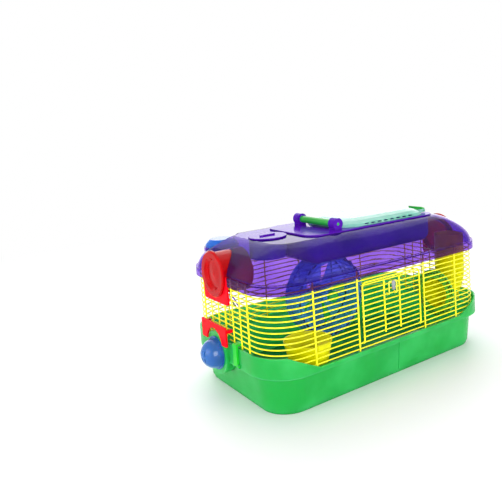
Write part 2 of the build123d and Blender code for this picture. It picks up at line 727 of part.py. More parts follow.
def tub_block(inset, low, high, mode=Mode.ADD):
    """Rounded block of the petting tub, inset from its outside."""
    with BuildSketch(Plane.XY.offset(low)) as outline:
        with Locations((tub_mid, 0)):
            RectangleRounded(
                TUB_RIGHT - TUB_LEFT - 2 * inset, 2 * (TUB_HALF - inset), TUB_RADIUS - inset
            )
    extrude(outline.sketch, amount=high - low, mode=mode)


# Petting zone
TUB_FLOOR = TUB_BOTTOM + TUB_WALL
GATE_Z = TUB_FLOOR + GAP
GATE_OPEN_LEFT = GATE_LEFT + GATE_LAP
GATE_OPEN_RIGHT = GATE_RIGHT - GATE_LAP
DECK_OPEN_LEFT = LID_LEFT + GATE_LAP
DECK_OPEN_RIGHT = LID_RIGHT - GATE_LAP
with BuildPart() as petting_tub:
    tub_block(0, TUB_BOTTOM, ROOF_Z + DECK)
    fillet(petting_tub.faces().sort_by(Axis.Z)[0].edges(), TUB_ROUND)
    offset(amount=-TUB_WALL, openings=petting_tub.faces().sort_by(Axis.Z)[-1])
    tub_block(-DECK_LIP, ROOF_Z + GAP, DECK_TOP)
    with BuildSketch(Plane.XY.offset(TUB_BOTTOM)):
        with Locations(((GATE_OPEN_LEFT + GATE_OPEN_RIGHT) / 2, 0)):
            RectangleRounded(GATE_OPEN_RIGHT - GATE_OPEN_LEFT, 2 * (GATE_HALF - GATE_LAP), GATE_LAP)
    extrude(amount=TUB_WALL, mode=Mode.SUBTRACT)
    with BuildSketch(Plane.XY.offset(ROOF_Z)):
        with Locations(((DECK_OPEN_LEFT + DECK_OPEN_RIGHT) / 2, 0)):
            RectangleRounded(
                DECK_OPEN_RIGHT - DECK_OPEN_LEFT, 2 * (LID_HALF - GATE_LAP), LID_RADIUS - GATE_LAP
            )
    extrude(amount=DECK, mode=Mode.SUBTRACT)
    for shift in (-1, 1):
        guide_y = shift * (GATE_HALF + GAP + GUIDE / 2)
        guide_length = TUB_RIGHT - TUB_LEFT - 2 * TUB_RADIUS
        with Locations((tub_mid, guide_y, TUB_FLOOR + GUIDE)):
            Box(guide_length, GUIDE, 2 * GUIDE)
        with Locations((tub_mid, guide_y - shift * GUIDE, GATE_Z + GATE_THICK + GAP + GUIDE / 2)):
            Box(guide_length, 2 * GUIDE, GUIDE)
        boss_y = shift * (BARREL_HALF + 1 + BOSS_LENGTH / 2)
        with Locations((HINGE_X, boss_y, HINGE_Z)):
            Cylinder(BOSS_RADIUS, BOSS_LENGTH, rotation=(90, 0, 0))
        with Locations((HINGE_X, boss_y, (HINGE_Z + DECK_TOP) / 2)):
            Box(1.5 * BOSS_RADIUS, BOSS_LENGTH, HINGE_Z - DECK_TOP)
    with Locations((HINGE_X, 0, HINGE_Z)):
        Cylinder(PIN_RADIUS + RUN, 4 * BARREL_HALF, rotation=(90, 0, 0), mode=Mode.SUBTRACT)
save(petting_tub, "petting_tub")

with BuildPart() as petting_gate:
    with BuildSketch(Plane.XY.offset(GATE_Z)):
        with Locations(((GATE_LEFT + GATE_RIGHT) / 2, 0)):
            RectangleRounded(GATE_RIGHT - GATE_LEFT, 2 * GATE_HALF, GATE_LAP / 2)
    extrude(amount=GATE_THICK)
    with Locations((GATE_LEFT + GATE_LAP, 0, GATE_Z + 2 * GATE_THICK)):
        Box(GATE_LAP / 2, GATE_HALF, 4 * GATE_THICK)
save(petting_gate, "petting_gate")

with BuildPart() as hatch_pin:
    with Locations((HINGE_X, 0, HINGE_Z)):
        Cylinder(PIN_RADIUS, 2 * (BARREL_HALF + 1 + BOSS_LENGTH), rotation=(90, 0, 0))
save(hatch_pin, "hatch_pin")


def lid_block(shrink, lower):
    """Crowned block of the hatch lid, drawn in by shrink and lowered by lower."""
    sections = []
    for rise, inset in LID_STEPS:
        with BuildSketch(Plane.XY.offset(LID_Z + rise - lower)) as outline:
            with Locations(((LID_LEFT + LID_RIGHT) / 2, 0)):
                RectangleRounded(
                    LID_RIGHT - LID_LEFT - 2 * (inset + shrink),
                    2 * (LID_HALF - inset - shrink),
                    LID_RADIUS - 0.5 * inset - shrink,
                )
        sections.append(outline.sketch)
    return sections


LATCH_Z = LID_Z + 4.0
with BuildPart() as hatch_lid:
    loft(lid_block(0, 0), ruled=True)
    loft(lid_block(LID_WALL, LID_WALL), ruled=True, mode=Mode.SUBTRACT)
    with Locations(((LID_LEFT + LID_RIGHT) / 2, 0, LID_Z + LID_STEPS[1][0] / 2)):
        with GridLocations(LID_VENT_PITCH, 1, LID_VENTS, 1):
            Box(LID_VENT_LENGTH, DEPTH, LID_VENT_HEIGHT, mode=Mode.SUBTRACT)
    for shift in (-1, 1):
        ear_y = LATCH_Y + shift * (LATCH_LENGTH / 2 + GAP + EAR / 2)
        with Locations((LATCH_X - 2 * EAR, ear_y, LATCH_Z)):
            Box(6 * EAR, EAR, 2 * EAR)
    with Locations((LATCH_X, LATCH_Y, LATCH_Z)):
        Cylinder(
            CLIP_PIN + RUN, LATCH_LENGTH + 2 * GAP + 2 * EAR, rotation=(90, 0, 0), mode=Mode.SUBTRACT
        )
save(hatch_lid, "hatch_lid")

with BuildPart() as hatch_barrel:
    with Locations((HINGE_X, 0, HINGE_Z)):
        Cylinder(BARREL_RADIUS, 2 * BARREL_HALF, rotation=(90, 0, 0))
    arm_end = LID_LEFT + 2.5 * LID_WALL
    with Locations(((HINGE_X + arm_end) / 2, 0, HINGE_Z - BARREL_RADIUS + LID_WALL)):
        Box(arm_end - HINGE_X, 1.2 * BARREL_HALF, 1.5 * LID_WALL)
    loft(lid_block(0, 0), ruled=True, mode=Mode.SUBTRACT)
    with Locations((HINGE_X, 0, HINGE_Z)):
        Cylinder(PIN_RADIUS + RUN, 4 * BARREL_HALF, rotation=(90, 0, 0), mode=Mode.SUBTRACT)
save(hatch_barrel, "hatch_barrel")

with BuildPart() as hatch_latch:
    with BuildSketch(Plane.XZ.offset(-LATCH_Y - LATCH_LENGTH / 2)):
        with Locations((LATCH_X, LATCH_Z)):
            Circle(CLIP_PIN + EAR / 2)
        with BuildLine():
            Polyline(
                (LATCH_X, LATCH_Z),
                (LATCH_X + 2 * EAR, LATCH_Z + LATCH_HEIGHT - EAR),
                (LATCH_X - EAR, LATCH_Z + LATCH_HEIGHT),
                (LATCH_X - CLIP_PIN, LATCH_Z),
                close=True,
            )
        make_face()
    extrude(amount=LATCH_LENGTH)
    with Locations((LATCH_X, LATCH_Y, LATCH_Z)):
        Cylinder(CLIP_PIN, LATCH_LENGTH + 2 * GAP + 2 * EAR, rotation=(90, 0, 0))
save(hatch_latch, "hatch_latch")

# Water bottle
BOTTLE_AXIS = Axis((BOTTLE_X, BOTTLE_Y, 0), (0, 0, 1))
BOTTLE_PLANE = Plane(origin=(BOTTLE_X, BOTTLE_Y, 0), x_dir=(1, 0, 0), z_dir=(0, -1, 0))
SHOULDER_Z = SLEEVE_BOTTOM + SLEEVE_LIP + GAP
with BuildPart() as water_bottle:
    with BuildSketch(BOTTLE_PLANE):
        step = 3 * SLEEVE_WALL
        with BuildLine():
            Polyline(
                (0, BOTTLE_TOP),
                (BOTTLE_RADIUS - step, BOTTLE_TOP),
                (BOTTLE_RADIUS, BOTTLE_TOP - step),
                (BOTTLE_RADIUS, SHOULDER_Z),
                (LOWER_RADIUS, SHOULDER_Z),
                (LOWER_RADIUS, CAP_TOP + step),
                (NECK_RADIUS, CAP_TOP + GAP),
                (NECK_RADIUS, NECK_Z),
                (NECK_RADIUS - BOTTLE_WALL, NECK_Z),
                (NECK_RADIUS - BOTTLE_WALL, CAP_TOP + BOTTLE_WALL),
                (LOWER_RADIUS - BOTTLE_WALL, CAP_TOP + step + BOTTLE_WALL),
                (LOWER_RADIUS - BOTTLE_WALL, SHOULDER_Z + BOTTLE_WALL),
                (BOTTLE_RADIUS - BOTTLE_WALL, SHOULDER_Z + BOTTLE_WALL),
                (BOTTLE_RADIUS - BOTTLE_WALL, BOTTLE_TOP - step - BOTTLE_WALL),
                (BOTTLE_RADIUS - step - BOTTLE_WALL, BOTTLE_TOP - BOTTLE_WALL),
                (0, BOTTLE_TOP - BOTTLE_WALL),
                close=True,
            )
        make_face()
    revolve(axis=BOTTLE_AXIS)
save(water_bottle, "water_bottle")

with BuildPart() as bottle_cap:
    with BuildSketch(BOTTLE_PLANE):
        with BuildLine():
            Polyline(
                (SIPPER_RADIUS, CAP_BOTTOM),
                (CAP_RADIUS - PLUG_WALL, CAP_BOTTOM),
                (CAP_RADIUS, CAP_BOTTOM + PLUG_WALL),
                (CAP_RADIUS, CAP_TOP),
                (NECK_RADIUS + RUN, CAP_TOP),
                (NECK_RADIUS + RUN, NECK_Z - GAP),
                (SIPPER_RADIUS, NECK_Z - GAP),
                close=True,
            )
        make_face()
    revolve(axis=BOTTLE_AXIS)
save(bottle_cap, "bottle_cap")

with BuildPart() as sipper_tube:
    reach = SIPPER_REACH * sqrt(0.5)
    elbow_z = CAP_BOTTOM - SIPPER_DROP
    tip = (BOTTLE_X + reach, BOTTLE_Y - reach, elbow_z - SIPPER_FALL)
    with BuildLine():
        FilletPolyline(
            (BOTTLE_X, BOTTLE_Y, NECK_Z - GAP),
            (BOTTLE_X, BOTTLE_Y, elbow_z),
            tip,
            radius=SIPPER_BEND,
        )
    with BuildSketch(Plane.XY.offset(NECK_Z - GAP).move(Location((BOTTLE_X, BOTTLE_Y, 0)))):
        Circle(SIPPER_RADIUS)
    sweep()
    with Locations(tip):
        Sphere(SIPPER_RADIUS - GAP)
save(sipper_tube, "sipper_tube")

# Exercise wheel
WHEEL_PLANE = Plane(origin=(WHEEL_X, WHEEL_FRONT, WHEEL_Z), x_dir=(1, 0, 0), z_dir=(0, 1, 0))


def tread_ring(radius):
    """Corner points of the wheel's ridged drum."""
    turns = [pi * i / WHEEL_TREADS for i in range(2 * WHEEL_TREADS)]
    sizes = [radius - TREAD * (i % 2) for i in range(2 * WHEEL_TREADS)]
    return [(r * cos(t), r * sin(t)) for r, t in zip(sizes, turns)]


with BuildPart() as exercise_wheel:
    with BuildSketch(WHEEL_PLANE):
        with BuildLine():
            Polyline(*tread_ring(WHEEL_RADIUS), close=True)
        make_face()
    extrude(amount=WHEEL_WIDTH)
    with BuildSketch(WHEEL_PLANE.offset(WHEEL_WALL)):
        with BuildLine():
            Polyline(*tread_ring(WHEEL_RADIUS - WHEEL_WALL), close=True)
        make_face()
    extrude(amount=WHEEL_WIDTH - WHEEL_WALL, mode=Mode.SUBTRACT)
    with BuildSketch(WHEEL_PLANE):
        Circle(WHEEL_RADIUS - WHEEL_LIP)
    extrude(amount=WHEEL_WALL, mode=Mode.SUBTRACT)
save(exercise_wheel, "exercise_wheel")

with BuildPart() as wheel_spider:
    with BuildSketch(WHEEL_PLANE.offset(WHEEL_WIDTH)):
        Circle(WHEEL_RADIUS)
        with PolarLocations(0, SPOKES):
            with BuildLine():
                inner_r = HUB_RADIUS + SPOKE_GAP
                outer_r = WHEEL_RADIUS - WHEEL_LIP
                half_turn = 180 / SPOKES - SPOKE_HALF_TURN
                CenterArc((0, 0), outer_r, -half_turn, 2 * half_turn)
                CenterArc((0, 0), inner_r, -half_turn / 2, half_turn)
                for s in (-1, 1):
                    Line(
                        (outer_r * cos(radians(half_turn)), s * outer_r * sin(radians(half_turn))),
                        (inner_r * cos(radians(half_turn / 2)), s * inner_r * sin(radians(half_turn / 2))),
                    )
            make_face(mode=Mode.SUBTRACT)
    extrude(amount=WHEEL_WALL)
    with BuildSketch(WHEEL_PLANE.offset(GAP)):
        Circle(HUB_RADIUS)
    extrude(amount=HUB_BACK - WHEEL_FRONT - GAP)
    with BuildSketch(WHEEL_PLANE):
        Circle(AXLE_RADIUS + RUN)
    extrude(amount=2 * WHEEL_WIDTH, mode=Mode.SUBTRACT)
save(wheel_spider, "wheel_spider")

with BuildPart() as wheel_axle:
    with BuildSketch(Plane(origin=(WHEEL_X, WHEEL_FRONT - HUB_RADIUS / 2, WHEEL_Z), z_dir=(0, 1, 0))):
        Circle(AXLE_RADIUS)
    extrude(amount=AXLE_END - WHEEL_FRONT + HUB_RADIUS / 2)
save(wheel_axle, "wheel_axle")

with BuildPart() as axle_cap:
    with BuildSketch(Plane(origin=(WHEEL_X, WHEEL_FRONT - HUB_RADIUS, WHEEL_Z), z_dir=(0, 1, 0))):
        Circle(HUB_RADIUS)
    extrude(amount=HUB_RADIUS)
    with BuildSketch(Plane(origin=(WHEEL_X, WHEEL_FRONT - HUB_RADIUS / 2, WHEEL_Z), z_dir=(0, 1, 0))):
        Circle(AXLE_RADIUS)
    extrude(amount=HUB_RADIUS, mode=Mode.SUBTRACT)
    chamfer(axle_cap.faces().sort_by(Axis.Y)[0].edges(), HUB_RADIUS / 3)
save(axle_cap, "axle_cap")

with BuildPart() as wheel_stand:
    stand_y = HUB_BACK + GAP
    with BuildSketch(Plane(origin=(0, stand_y, 0), x_dir=(1, 0, 0), z_dir=(0, -1, 0))):
        with Locations((WHEEL_X, WHEEL_Z)):
            Circle(STAND_WIDTH * 0.75)
        with BuildLine():
            Polyline(
                (WHEEL_X - STAND_WIDTH, FLOOR),
                (WHEEL_X + STAND_WIDTH, FLOOR),
                (WHEEL_X + STAND_WIDTH / 2, WHEEL_Z),
                (WHEEL_X - STAND_WIDTH / 2, WHEEL_Z),
                close=True,
            )
        make_face()
    extrude(amount=-STAND_THICK)
    with BuildSketch(Plane.XY.offset(FLOOR)):
        with Locations((WHEEL_X, stand_y + STAND_THICK / 2)):
            RectangleRounded(STAND_FOOT, STAND_FOOT_DEPTH, STAND_WIDTH / 2)
    extrude(amount=STAND_FOOT_HEIGHT)
    with BuildSketch(Plane(origin=(WHEEL_X, stand_y, WHEEL_Z), z_dir=(0, 1, 0))):
        Circle(AXLE_RADIUS)
    extrude(amount=STAND_THICK, mode=Mode.SUBTRACT)
save(wheel_stand, "wheel_stand")

# Food dish
DISH_TOP = ROW_Z[DISH_ROW]
DISH_Y = -WIRE_Y + WIRE / 2 + GAP + DISH_RADIUS
with BuildPart() as food_dish:
    with BuildSketch(Plane(origin=(DISH_X, DISH_Y, 0), x_dir=(1, 0, 0), z_dir=(0, -1, 0))):
        low = DISH_TOP - DISH_DEPTH
        with BuildLine():
            Polyline(
                (0, low),
                (DISH_BASE, low),
                (DISH_RADIUS, DISH_TOP),
                (DISH_RADIUS - DISH_WALL, DISH_TOP),
                (DISH_BASE - DISH_WALL, low + DISH_WALL),
                (0, low + DISH_WALL),
                close=True,
            )
        make_face()
    revolve(axis=Axis((DISH_X, DISH_Y, 0), (0, 0, 1)))
    hook_top = DISH_TOP + WIRE / 2 + GAP + DISH_WALL
    hook_out = -WIRE_Y - WIRE / 2 - GAP - DISH_WALL
    hook_in = DISH_Y - DISH_RADIUS + 2 * DISH_WALL
    with BuildSketch(Plane.YZ.offset(DISH_X - DISH_HOOK / 2)):
        with BuildLine():
            Polyline(
                (hook_in, DISH_TOP - 2 * DISH_WALL),
                (hook_in, hook_top),
                (hook_out, hook_top),
                (hook_out, DISH_TOP - 2 * DISH_WALL),
                (hook_out + DISH_WALL, DISH_TOP - 2 * DISH_WALL),
                (hook_out + DISH_WALL, hook_top - DISH_WALL),
                (hook_in - DISH_WALL, hook_top - DISH_WALL),
                (hook_in - DISH_WALL, DISH_TOP - 2 * DISH_WALL),
                close=True,
            )
        make_face()
    extrude(amount=DISH_HOOK)
save(food_dish, "food_dish")

# Climbing tube and its flange
with BuildPart() as climb_tube:
    with BuildSketch(Plane.XY.offset(TUBE_JOIN)):
        with Locations((TUBE_X, TUBE_Y)):
            Circle(TUBE_RADIUS)
            Circle(TUBE_RADIUS - TUBE_WALL, mode=Mode.SUBTRACT)
    extrude(amount=TUBE_TOP - TUBE_JOIN)
save(climb_tube, "climb_tube")

with BuildPart() as tube_elbow:
    with BuildLine():
        FilletPolyline(
            (TUBE_X, TUBE_Y, TUBE_JOIN),
            (TUBE_X, TUBE_Y, MOUTH_Z),
            (MOUTH_X, TUBE_Y, MOUTH_Z),
            radius=TUBE_BEND,
        )
    with BuildSketch(Plane(origin=(TUBE_X, TUBE_Y, TUBE_JOIN), z_dir=(0, 0, -1))):
        Circle(TUBE_RADIUS)
        Circle(TUBE_RADIUS - TUBE_WALL, mode=Mode.SUBTRACT)
    sweep()
save(tube_elbow, "tube_elbow")

with BuildPart() as tube_flange:
    with BuildSketch(Plane.YZ.offset(MOUTH_X)):
        with Locations((TUBE_Y, MOUTH_Z)):
            Circle(FLANGE_RADIUS)
            Circle(TUBE_RADIUS + RUN, mode=Mode.SUBTRACT)
    extrude(amount=FLANGE_THICK)
    for i in FLANGE_ROWS:
        rest_z = ROW_Z[i] + WIRE / 2 + FLANGE_THICK / 2
        with Locations((MOUTH_X + FLANGE_THICK / 2, -WIRE_Y + 2 * WIRE, rest_z)):
            Box(FLANGE_THICK, 7 * WIRE, FLANGE_THICK)
save(tube_flange, "tube_flange")
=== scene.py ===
"""Hamster cage: finishes, round wire, wheel plate, dark sheets of painted shade in the slots, and
studio around the CAD frame.
"""

import logging
import math
from dataclasses import dataclass, field
from enum import Enum

import bmesh
import bpy
from mathutils import Euler, Matrix, Vector


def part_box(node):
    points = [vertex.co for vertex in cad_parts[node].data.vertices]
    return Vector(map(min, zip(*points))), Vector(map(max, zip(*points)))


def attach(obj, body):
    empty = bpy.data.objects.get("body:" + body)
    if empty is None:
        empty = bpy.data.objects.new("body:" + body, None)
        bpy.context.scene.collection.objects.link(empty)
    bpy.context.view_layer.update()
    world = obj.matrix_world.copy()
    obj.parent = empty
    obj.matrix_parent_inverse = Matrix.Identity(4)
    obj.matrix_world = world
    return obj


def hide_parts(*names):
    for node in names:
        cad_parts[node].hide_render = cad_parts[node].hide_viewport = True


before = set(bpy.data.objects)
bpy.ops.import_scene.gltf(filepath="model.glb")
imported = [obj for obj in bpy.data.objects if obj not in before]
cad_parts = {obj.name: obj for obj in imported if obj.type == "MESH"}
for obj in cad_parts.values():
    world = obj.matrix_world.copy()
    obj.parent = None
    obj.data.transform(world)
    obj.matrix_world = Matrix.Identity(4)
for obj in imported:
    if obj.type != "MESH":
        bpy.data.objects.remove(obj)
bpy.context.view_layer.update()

log = logging.getLogger("cage")

Colour = tuple[float, float, float, float]
Triple = tuple[float, float, float]
Pair = tuple[float, float]

MM = 0.001  # in metres
IMAGE_SIDE = 502  # pixels
SCATTER = 16 * MM  # how far light travels inside milky plastic
WELD = 1e-6  # points nearer than this are one point
BEND_POINTS = 14  # steps in a quarter turn of wire
EYE_POINTS = 24  # steps around an eye of wire
CIRCLE_POINTS = 64  # steps around a round outline
MIX_A, MIX_B, MIX_RESULT = 6, 7, 2  # colour sockets of a Mix node
TONE_DETAIL = 3.0  # layers of noise in the colour pattern
TONE_SPAN = (0.32, 0.68)  # noise that gives the deep and the pale colour
WEAR_DETAIL = 1.0  # layers of noise in the handling marks
WEAR_SPAN = (0.3, 0.7)  # noise that gives the least and the most wear
WEAR_FACTOR = (0.8, 1.2)  # what the least and the most wear do to the roughness


def rgb(red: float, green: float, blue: float) -> Colour:
    """Opaque colour from linear red, green and blue.

    Args:
        red: Linear red, 0 to 1.
        green: Linear green, 0 to 1.
        blue: Linear blue, 0 to 1.

    Returns:
        The colour with full alpha.
    """
    return (red, green, blue, 1.0)


class Grain(Enum):
    """Size of the faint pattern in a finish, as a noise scale per metre."""

    BROAD = 14.0
    MEDIUM = 40.0
    FINE = 260.0


@dataclass(frozen=True)
class Finish:
    """One material of the cage.

    Attributes:
        slot: The record's material slot.
        deep: Colour in the denser patches.
        pale: Colour in the thinner patches.
        roughness: Surface roughness.
        transmission: Share of light that passes through.
        metallic: 1 for bare metal.
        gloss: Strength of the plain surface reflection, 0.5 for common plastic.
        bend: Index of refraction.
        glow: Share of light that scatters inside a milky plastic.
        grain: Size of the colour pattern.
        relief: Height of the surface grain.
    """

    slot: str
    deep: Colour
    pale: Colour
    roughness: float = 0.22
    transmission: float = 0.0
    metallic: float = 0.0
    gloss: float = 0.3
    bend: float = 1.5
    glow: float = 0.0
    grain: Grain = Grain.BROAD
    relief: float = 0.02


class Look(Enum):
    """Every finish on the cage."""

    TRAY = Finish(
        "tray_green", rgb(0.016, 0.45, 0.07), rgb(0.036, 0.56, 0.12),
        roughness=0.21, transmission=0.3, bend=1.3, glow=0.7,
    )
    CLIP = Finish(
        "clip_green", rgb(0.01, 0.5, 0.02), rgb(0.025, 0.62, 0.035),
        roughness=0.21, gloss=0.2,
    )
    WIRE = Finish(
        "wire_yellow", rgb(0.93, 0.87, 0.005), rgb(0.99, 0.96, 0.03),
        roughness=0.36, grain=Grain.MEDIUM,
    )
    LATCH_WIRE = Finish(
        "latch_wire", rgb(0.92, 0.87, 0.03), rgb(0.98, 0.95, 0.1),
        roughness=0.36, grain=Grain.MEDIUM,
    )
    TAB = Finish(
        "tab_grey", rgb(0.2, 0.21, 0.22), rgb(0.3, 0.31, 0.33),
        roughness=0.45, grain=Grain.MEDIUM,
    )
    PLATE = Finish(
        "plate_red", rgb(0.76, 0.0, 0.006), rgb(0.88, 0.002, 0.012),
        roughness=0.36, gloss=0.1, bend=1.3,
    )
    RED_PLUG = Finish(
        "plug_red", rgb(0.5, 0.0, 0.001), rgb(0.68, 0.001, 0.004),
        roughness=0.14, transmission=0.5, gloss=0.2, bend=1.25,
    )
    BLUE_PLUG = Finish(
        "plug_blue", rgb(0.015, 0.13, 0.52), rgb(0.06, 0.28, 0.74),
        roughness=0.08, transmission=0.6, gloss=0.5, bend=1.4,
    )
    COVER = Finish(
        "cover_purple", rgb(0.22, 0.085, 0.6), rgb(0.3, 0.13, 0.7),
        roughness=0.04, transmission=0.96, bend=1.12,
    )
    ZONE = Finish(
        "zone_purple", rgb(0.09, 0.006, 0.44), rgb(0.14, 0.012, 0.56),
        roughness=0.14, transmission=0.4, gloss=0.15, bend=1.2,
    )
    GATE = Finish(
        "gate_green", rgb(0.05, 0.03, 0.3), rgb(0.08, 0.06, 0.4),
        roughness=0.2, transmission=0.5, bend=1.3,
    )
    PIN = Finish(
        "pin_green", rgb(0.01, 0.28, 0.025), rgb(0.03, 0.4, 0.05),
        roughness=0.21,
    )
    LID = Finish(
        "lid_green", rgb(0.2, 0.64, 0.5), rgb(0.42, 0.82, 0.72),
        roughness=0.2, transmission=0.5, bend=1.36,
    )
    BOTTLE = Finish(
        "bottle_blue", rgb(0.015, 0.13, 0.66), rgb(0.04, 0.24, 0.8),
        roughness=0.1, transmission=0.55, bend=1.3,
    )
    CAP = Finish(
        "cap_white", rgb(0.68, 0.7, 0.72), rgb(0.82, 0.84, 0.86),
        roughness=0.36,
    )
    SIPPER = Finish(
        "sipper_steel", rgb(0.5, 0.5, 0.52), rgb(0.66, 0.66, 0.68),
        roughness=0.2, metallic=1.0, grain=Grain.FINE,
    )
    WHEEL = Finish(
        "wheel_blue", rgb(0.14, 0.54, 0.92), rgb(0.26, 0.68, 0.96),
        roughness=0.1, transmission=0.75, bend=1.15,
    )
    AXLE = Finish(
        "axle_steel", rgb(0.4, 0.4, 0.42), rgb(0.56, 0.56, 0.58),
        roughness=0.22, metallic=1.0, grain=Grain.FINE,
    )
    STAND = Finish(
        "stand_green", rgb(0.01, 0.36, 0.04), rgb(0.03, 0.5, 0.08),
        roughness=0.21,
    )
    DISH = Finish(
        "dish_yellow", rgb(0.92, 0.89, 0.0), rgb(0.98, 0.96, 0.008),
        roughness=0.21, transmission=0.15, bend=1.2, glow=0.8,
    )
    TUBE = Finish(
        "tube_yellow", rgb(0.95, 0.92, 0.0), rgb(0.99, 0.97, 0.005),
        roughness=0.21, transmission=0.15, bend=1.2, glow=0.8,
    )
    FLANGE = Finish(
        "flange_green", rgb(0.1, 0.6, 0.04), rgb(0.2, 0.74, 0.08),
        roughness=0.18, transmission=0.25, bend=1.3, glow=0.6,
    )
    # Painted shade: near-black finishes for thin sheets that stand for the shade inside the
    # wheel's and the flange's slots.
    WHEEL_SLOT_SHADE = Finish(
        "wheel_blue", rgb(0.004, 0.012, 0.03), rgb(0.01, 0.025, 0.06),
        roughness=0.4,
    )
    FLANGE_SLOT_SHADE = Finish(
        "flange_green", rgb(0.03, 0.012, 0.004), rgb(0.06, 0.03, 0.01),
        roughness=0.4,
    )


def add_sockets(
    tree: bpy.types.NodeTree, inputs: dict[str, str], outputs: dict[str, str]
) -> dict[str, str]:
    """Add named sockets to a node group.

    Args:
        tree: The node group.
        inputs: Kind of each input, by its name.
        outputs: Kind of each output, by its name.

    Returns:
        The identifier of each input, by its name.
    """
    made = {
        name: tree.interface.new_socket(
            name, in_out="INPUT", socket_type=f"NodeSocket{kind}"
        ).identifier
        for name, kind in inputs.items()
    }
    for name, kind in outputs.items():
        tree.interface.new_socket(name, in_out="OUTPUT", socket_type=f"NodeSocket{kind}")
    return made


def set_inputs(node: bpy.types.Node, values: dict[str, object]) -> None:
    """Give inputs of a node constant values.

    Args:
        node: The node.
        values: The value of each input, by its name.
    """
    for name, value in values.items():
        node.inputs[name].default_value = value


def moulded_tone() -> bpy.types.NodeTree:
    """Shader group for the uneven colour and gloss of moulded plastic and paint.

    Returns:
        A node group with Deep, Pale, Scale and Roughness inputs and Colour, Roughness and
        Height outputs.
    """
    group = bpy.data.node_groups.new("MouldedTone", "ShaderNodeTree")
    add_sockets(
        group,
        {"Deep": "Color", "Pale": "Color", "Scale": "Float", "Roughness": "Float"},
        {"Colour": "Color", "Roughness": "Float", "Height": "Float"},
    )
    nodes, links = group.nodes, group.links
    start = nodes.new("NodeGroupInput")
    end = nodes.new("NodeGroupOutput")
    place = nodes.new("ShaderNodeTexCoord")
    cloud = nodes.new("ShaderNodeTexNoise")
    set_inputs(cloud, {"Detail": TONE_DETAIL})
    spread = nodes.new("ShaderNodeMapRange")
    spread.interpolation_type = "SMOOTHSTEP"
    set_inputs(spread, {"From Min": TONE_SPAN[0], "From Max": TONE_SPAN[1]})
    mix = nodes.new("ShaderNodeMix")
    mix.data_type = "RGBA"
    fine = nodes.new("ShaderNodeTexNoise")
    set_inputs(fine, {"Scale": Grain.FINE.value})
    handled = nodes.new("ShaderNodeTexNoise")
    set_inputs(handled, {"Scale": Grain.BROAD.value, "Detail": WEAR_DETAIL})
    dulled = nodes.new("ShaderNodeMapRange")
    set_inputs(dulled, {"From Min": WEAR_SPAN[0], "From Max": WEAR_SPAN[1]})
    set_inputs(dulled, {"To Min": WEAR_FACTOR[0], "To Max": WEAR_FACTOR[1]})
    scaled = nodes.new("ShaderNodeMath")
    scaled.operation = "MULTIPLY"
    for noise in (cloud, fine, handled):
        links.new(place.outputs["Object"], noise.inputs["Vector"])
    links.new(handled.outputs["Fac"], dulled.inputs["Value"])
    links.new(dulled.outputs["Result"], scaled.inputs[0])
    links.new(start.outputs["Roughness"], scaled.inputs[1])
    links.new(scaled.outputs[0], end.inputs["Roughness"])
    links.new(start.outputs["Scale"], cloud.inputs["Scale"])
    links.new(cloud.outputs["Fac"], spread.inputs["Value"])
    links.new(spread.outputs["Result"], mix.inputs["Factor"])
    links.new(start.outputs["Deep"], mix.inputs[MIX_A])
    links.new(start.outputs["Pale"], mix.inputs[MIX_B])
    links.new(mix.outputs[MIX_RESULT], end.inputs["Colour"])
    links.new(fine.outputs["Fac"], end.inputs["Height"])
    return group


class Paint:
    """Makes each finish once and hands it out.

    Attributes:
        tone: The shader group that all finishes share.
        made: The finishes made so far.
    """

    def __init__(self) -> None:
        """Start with no finish made."""
        self.tone = moulded_tone()
        self.made: dict[Look, bpy.types.Material] = {}

    def material(self, look: Look) -> bpy.types.Material:
        """Material for a look.

        Args:
            look: The finish wanted.

        Returns:
            The material, made on first use.
        """
        if look in self.made:
            return self.made[look]
        finish: Finish = look.value
        made = bpy.data.materials.new(look.name.lower())
        made.use_nodes = True
        nodes, links = made.node_tree.nodes, made.node_tree.links
        shader = nodes["Principled BSDF"]
        tone = nodes.new("ShaderNodeGroup")
        tone.node_tree = self.tone
        set_inputs(
            tone,
            {
                "Deep": finish.deep,
                "Pale": finish.pale,
                "Scale": finish.grain.value,
                "Roughness": finish.roughness,
            },
        )
        bump = nodes.new("ShaderNodeBump")
        set_inputs(bump, {"Strength": finish.relief, "Distance": MM})
        links.new(tone.outputs["Colour"], shader.inputs["Base Color"])
        links.new(tone.outputs["Roughness"], shader.inputs["Roughness"])
        links.new(tone.outputs["Height"], bump.inputs["Height"])
        links.new(bump.outputs["Normal"], shader.inputs["Normal"])
        set_inputs(
            shader,
            {
                "Metallic": finish.metallic,
                "Transmission Weight": finish.transmission,
                "Subsurface Weight": finish.glow,
                "Subsurface Radius": (1.0, 1.0, 1.0),
                "Subsurface Scale": SCATTER,
                "Specular IOR Level": finish.gloss,
                "IOR": finish.bend,
            },
        )
        self.made[look] = made
        return made

    def coat_node(self, node: str, look: Look) -> None:
        """Give a CAD node its finish.

        Args:
            node: Name of the CAD node.
            look: The finish wanted.
        """
        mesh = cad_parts[node].data
        mesh.materials.clear()
        mesh.materials.append(self.material(look))
        log.info("%s: CAD node in %s", node, look.value.slot)


def linked(name: str, data: bpy.types.ID) -> bpy.types.Object:
    """New object in the scene.

    Args:
        name: Name of the object.
        data: Its mesh, curve, light or camera.

    Returns:
        The object.
    """
    made = bpy.data.objects.new(name, data)
    bpy.context.scene.collection.objects.link(made)
    return made


def evaluated_mesh(maker: bpy.types.Object) -> bpy.types.Mesh:
    """Mesh that an object's curve or modifiers make.

    Args:
        maker: An object in the scene.

    Returns:
        A new mesh.
    """
    bpy.context.view_layer.update()
    graph = bpy.context.evaluated_depsgraph_get()
    return bpy.data.meshes.new_from_object(maker.evaluated_get(graph))


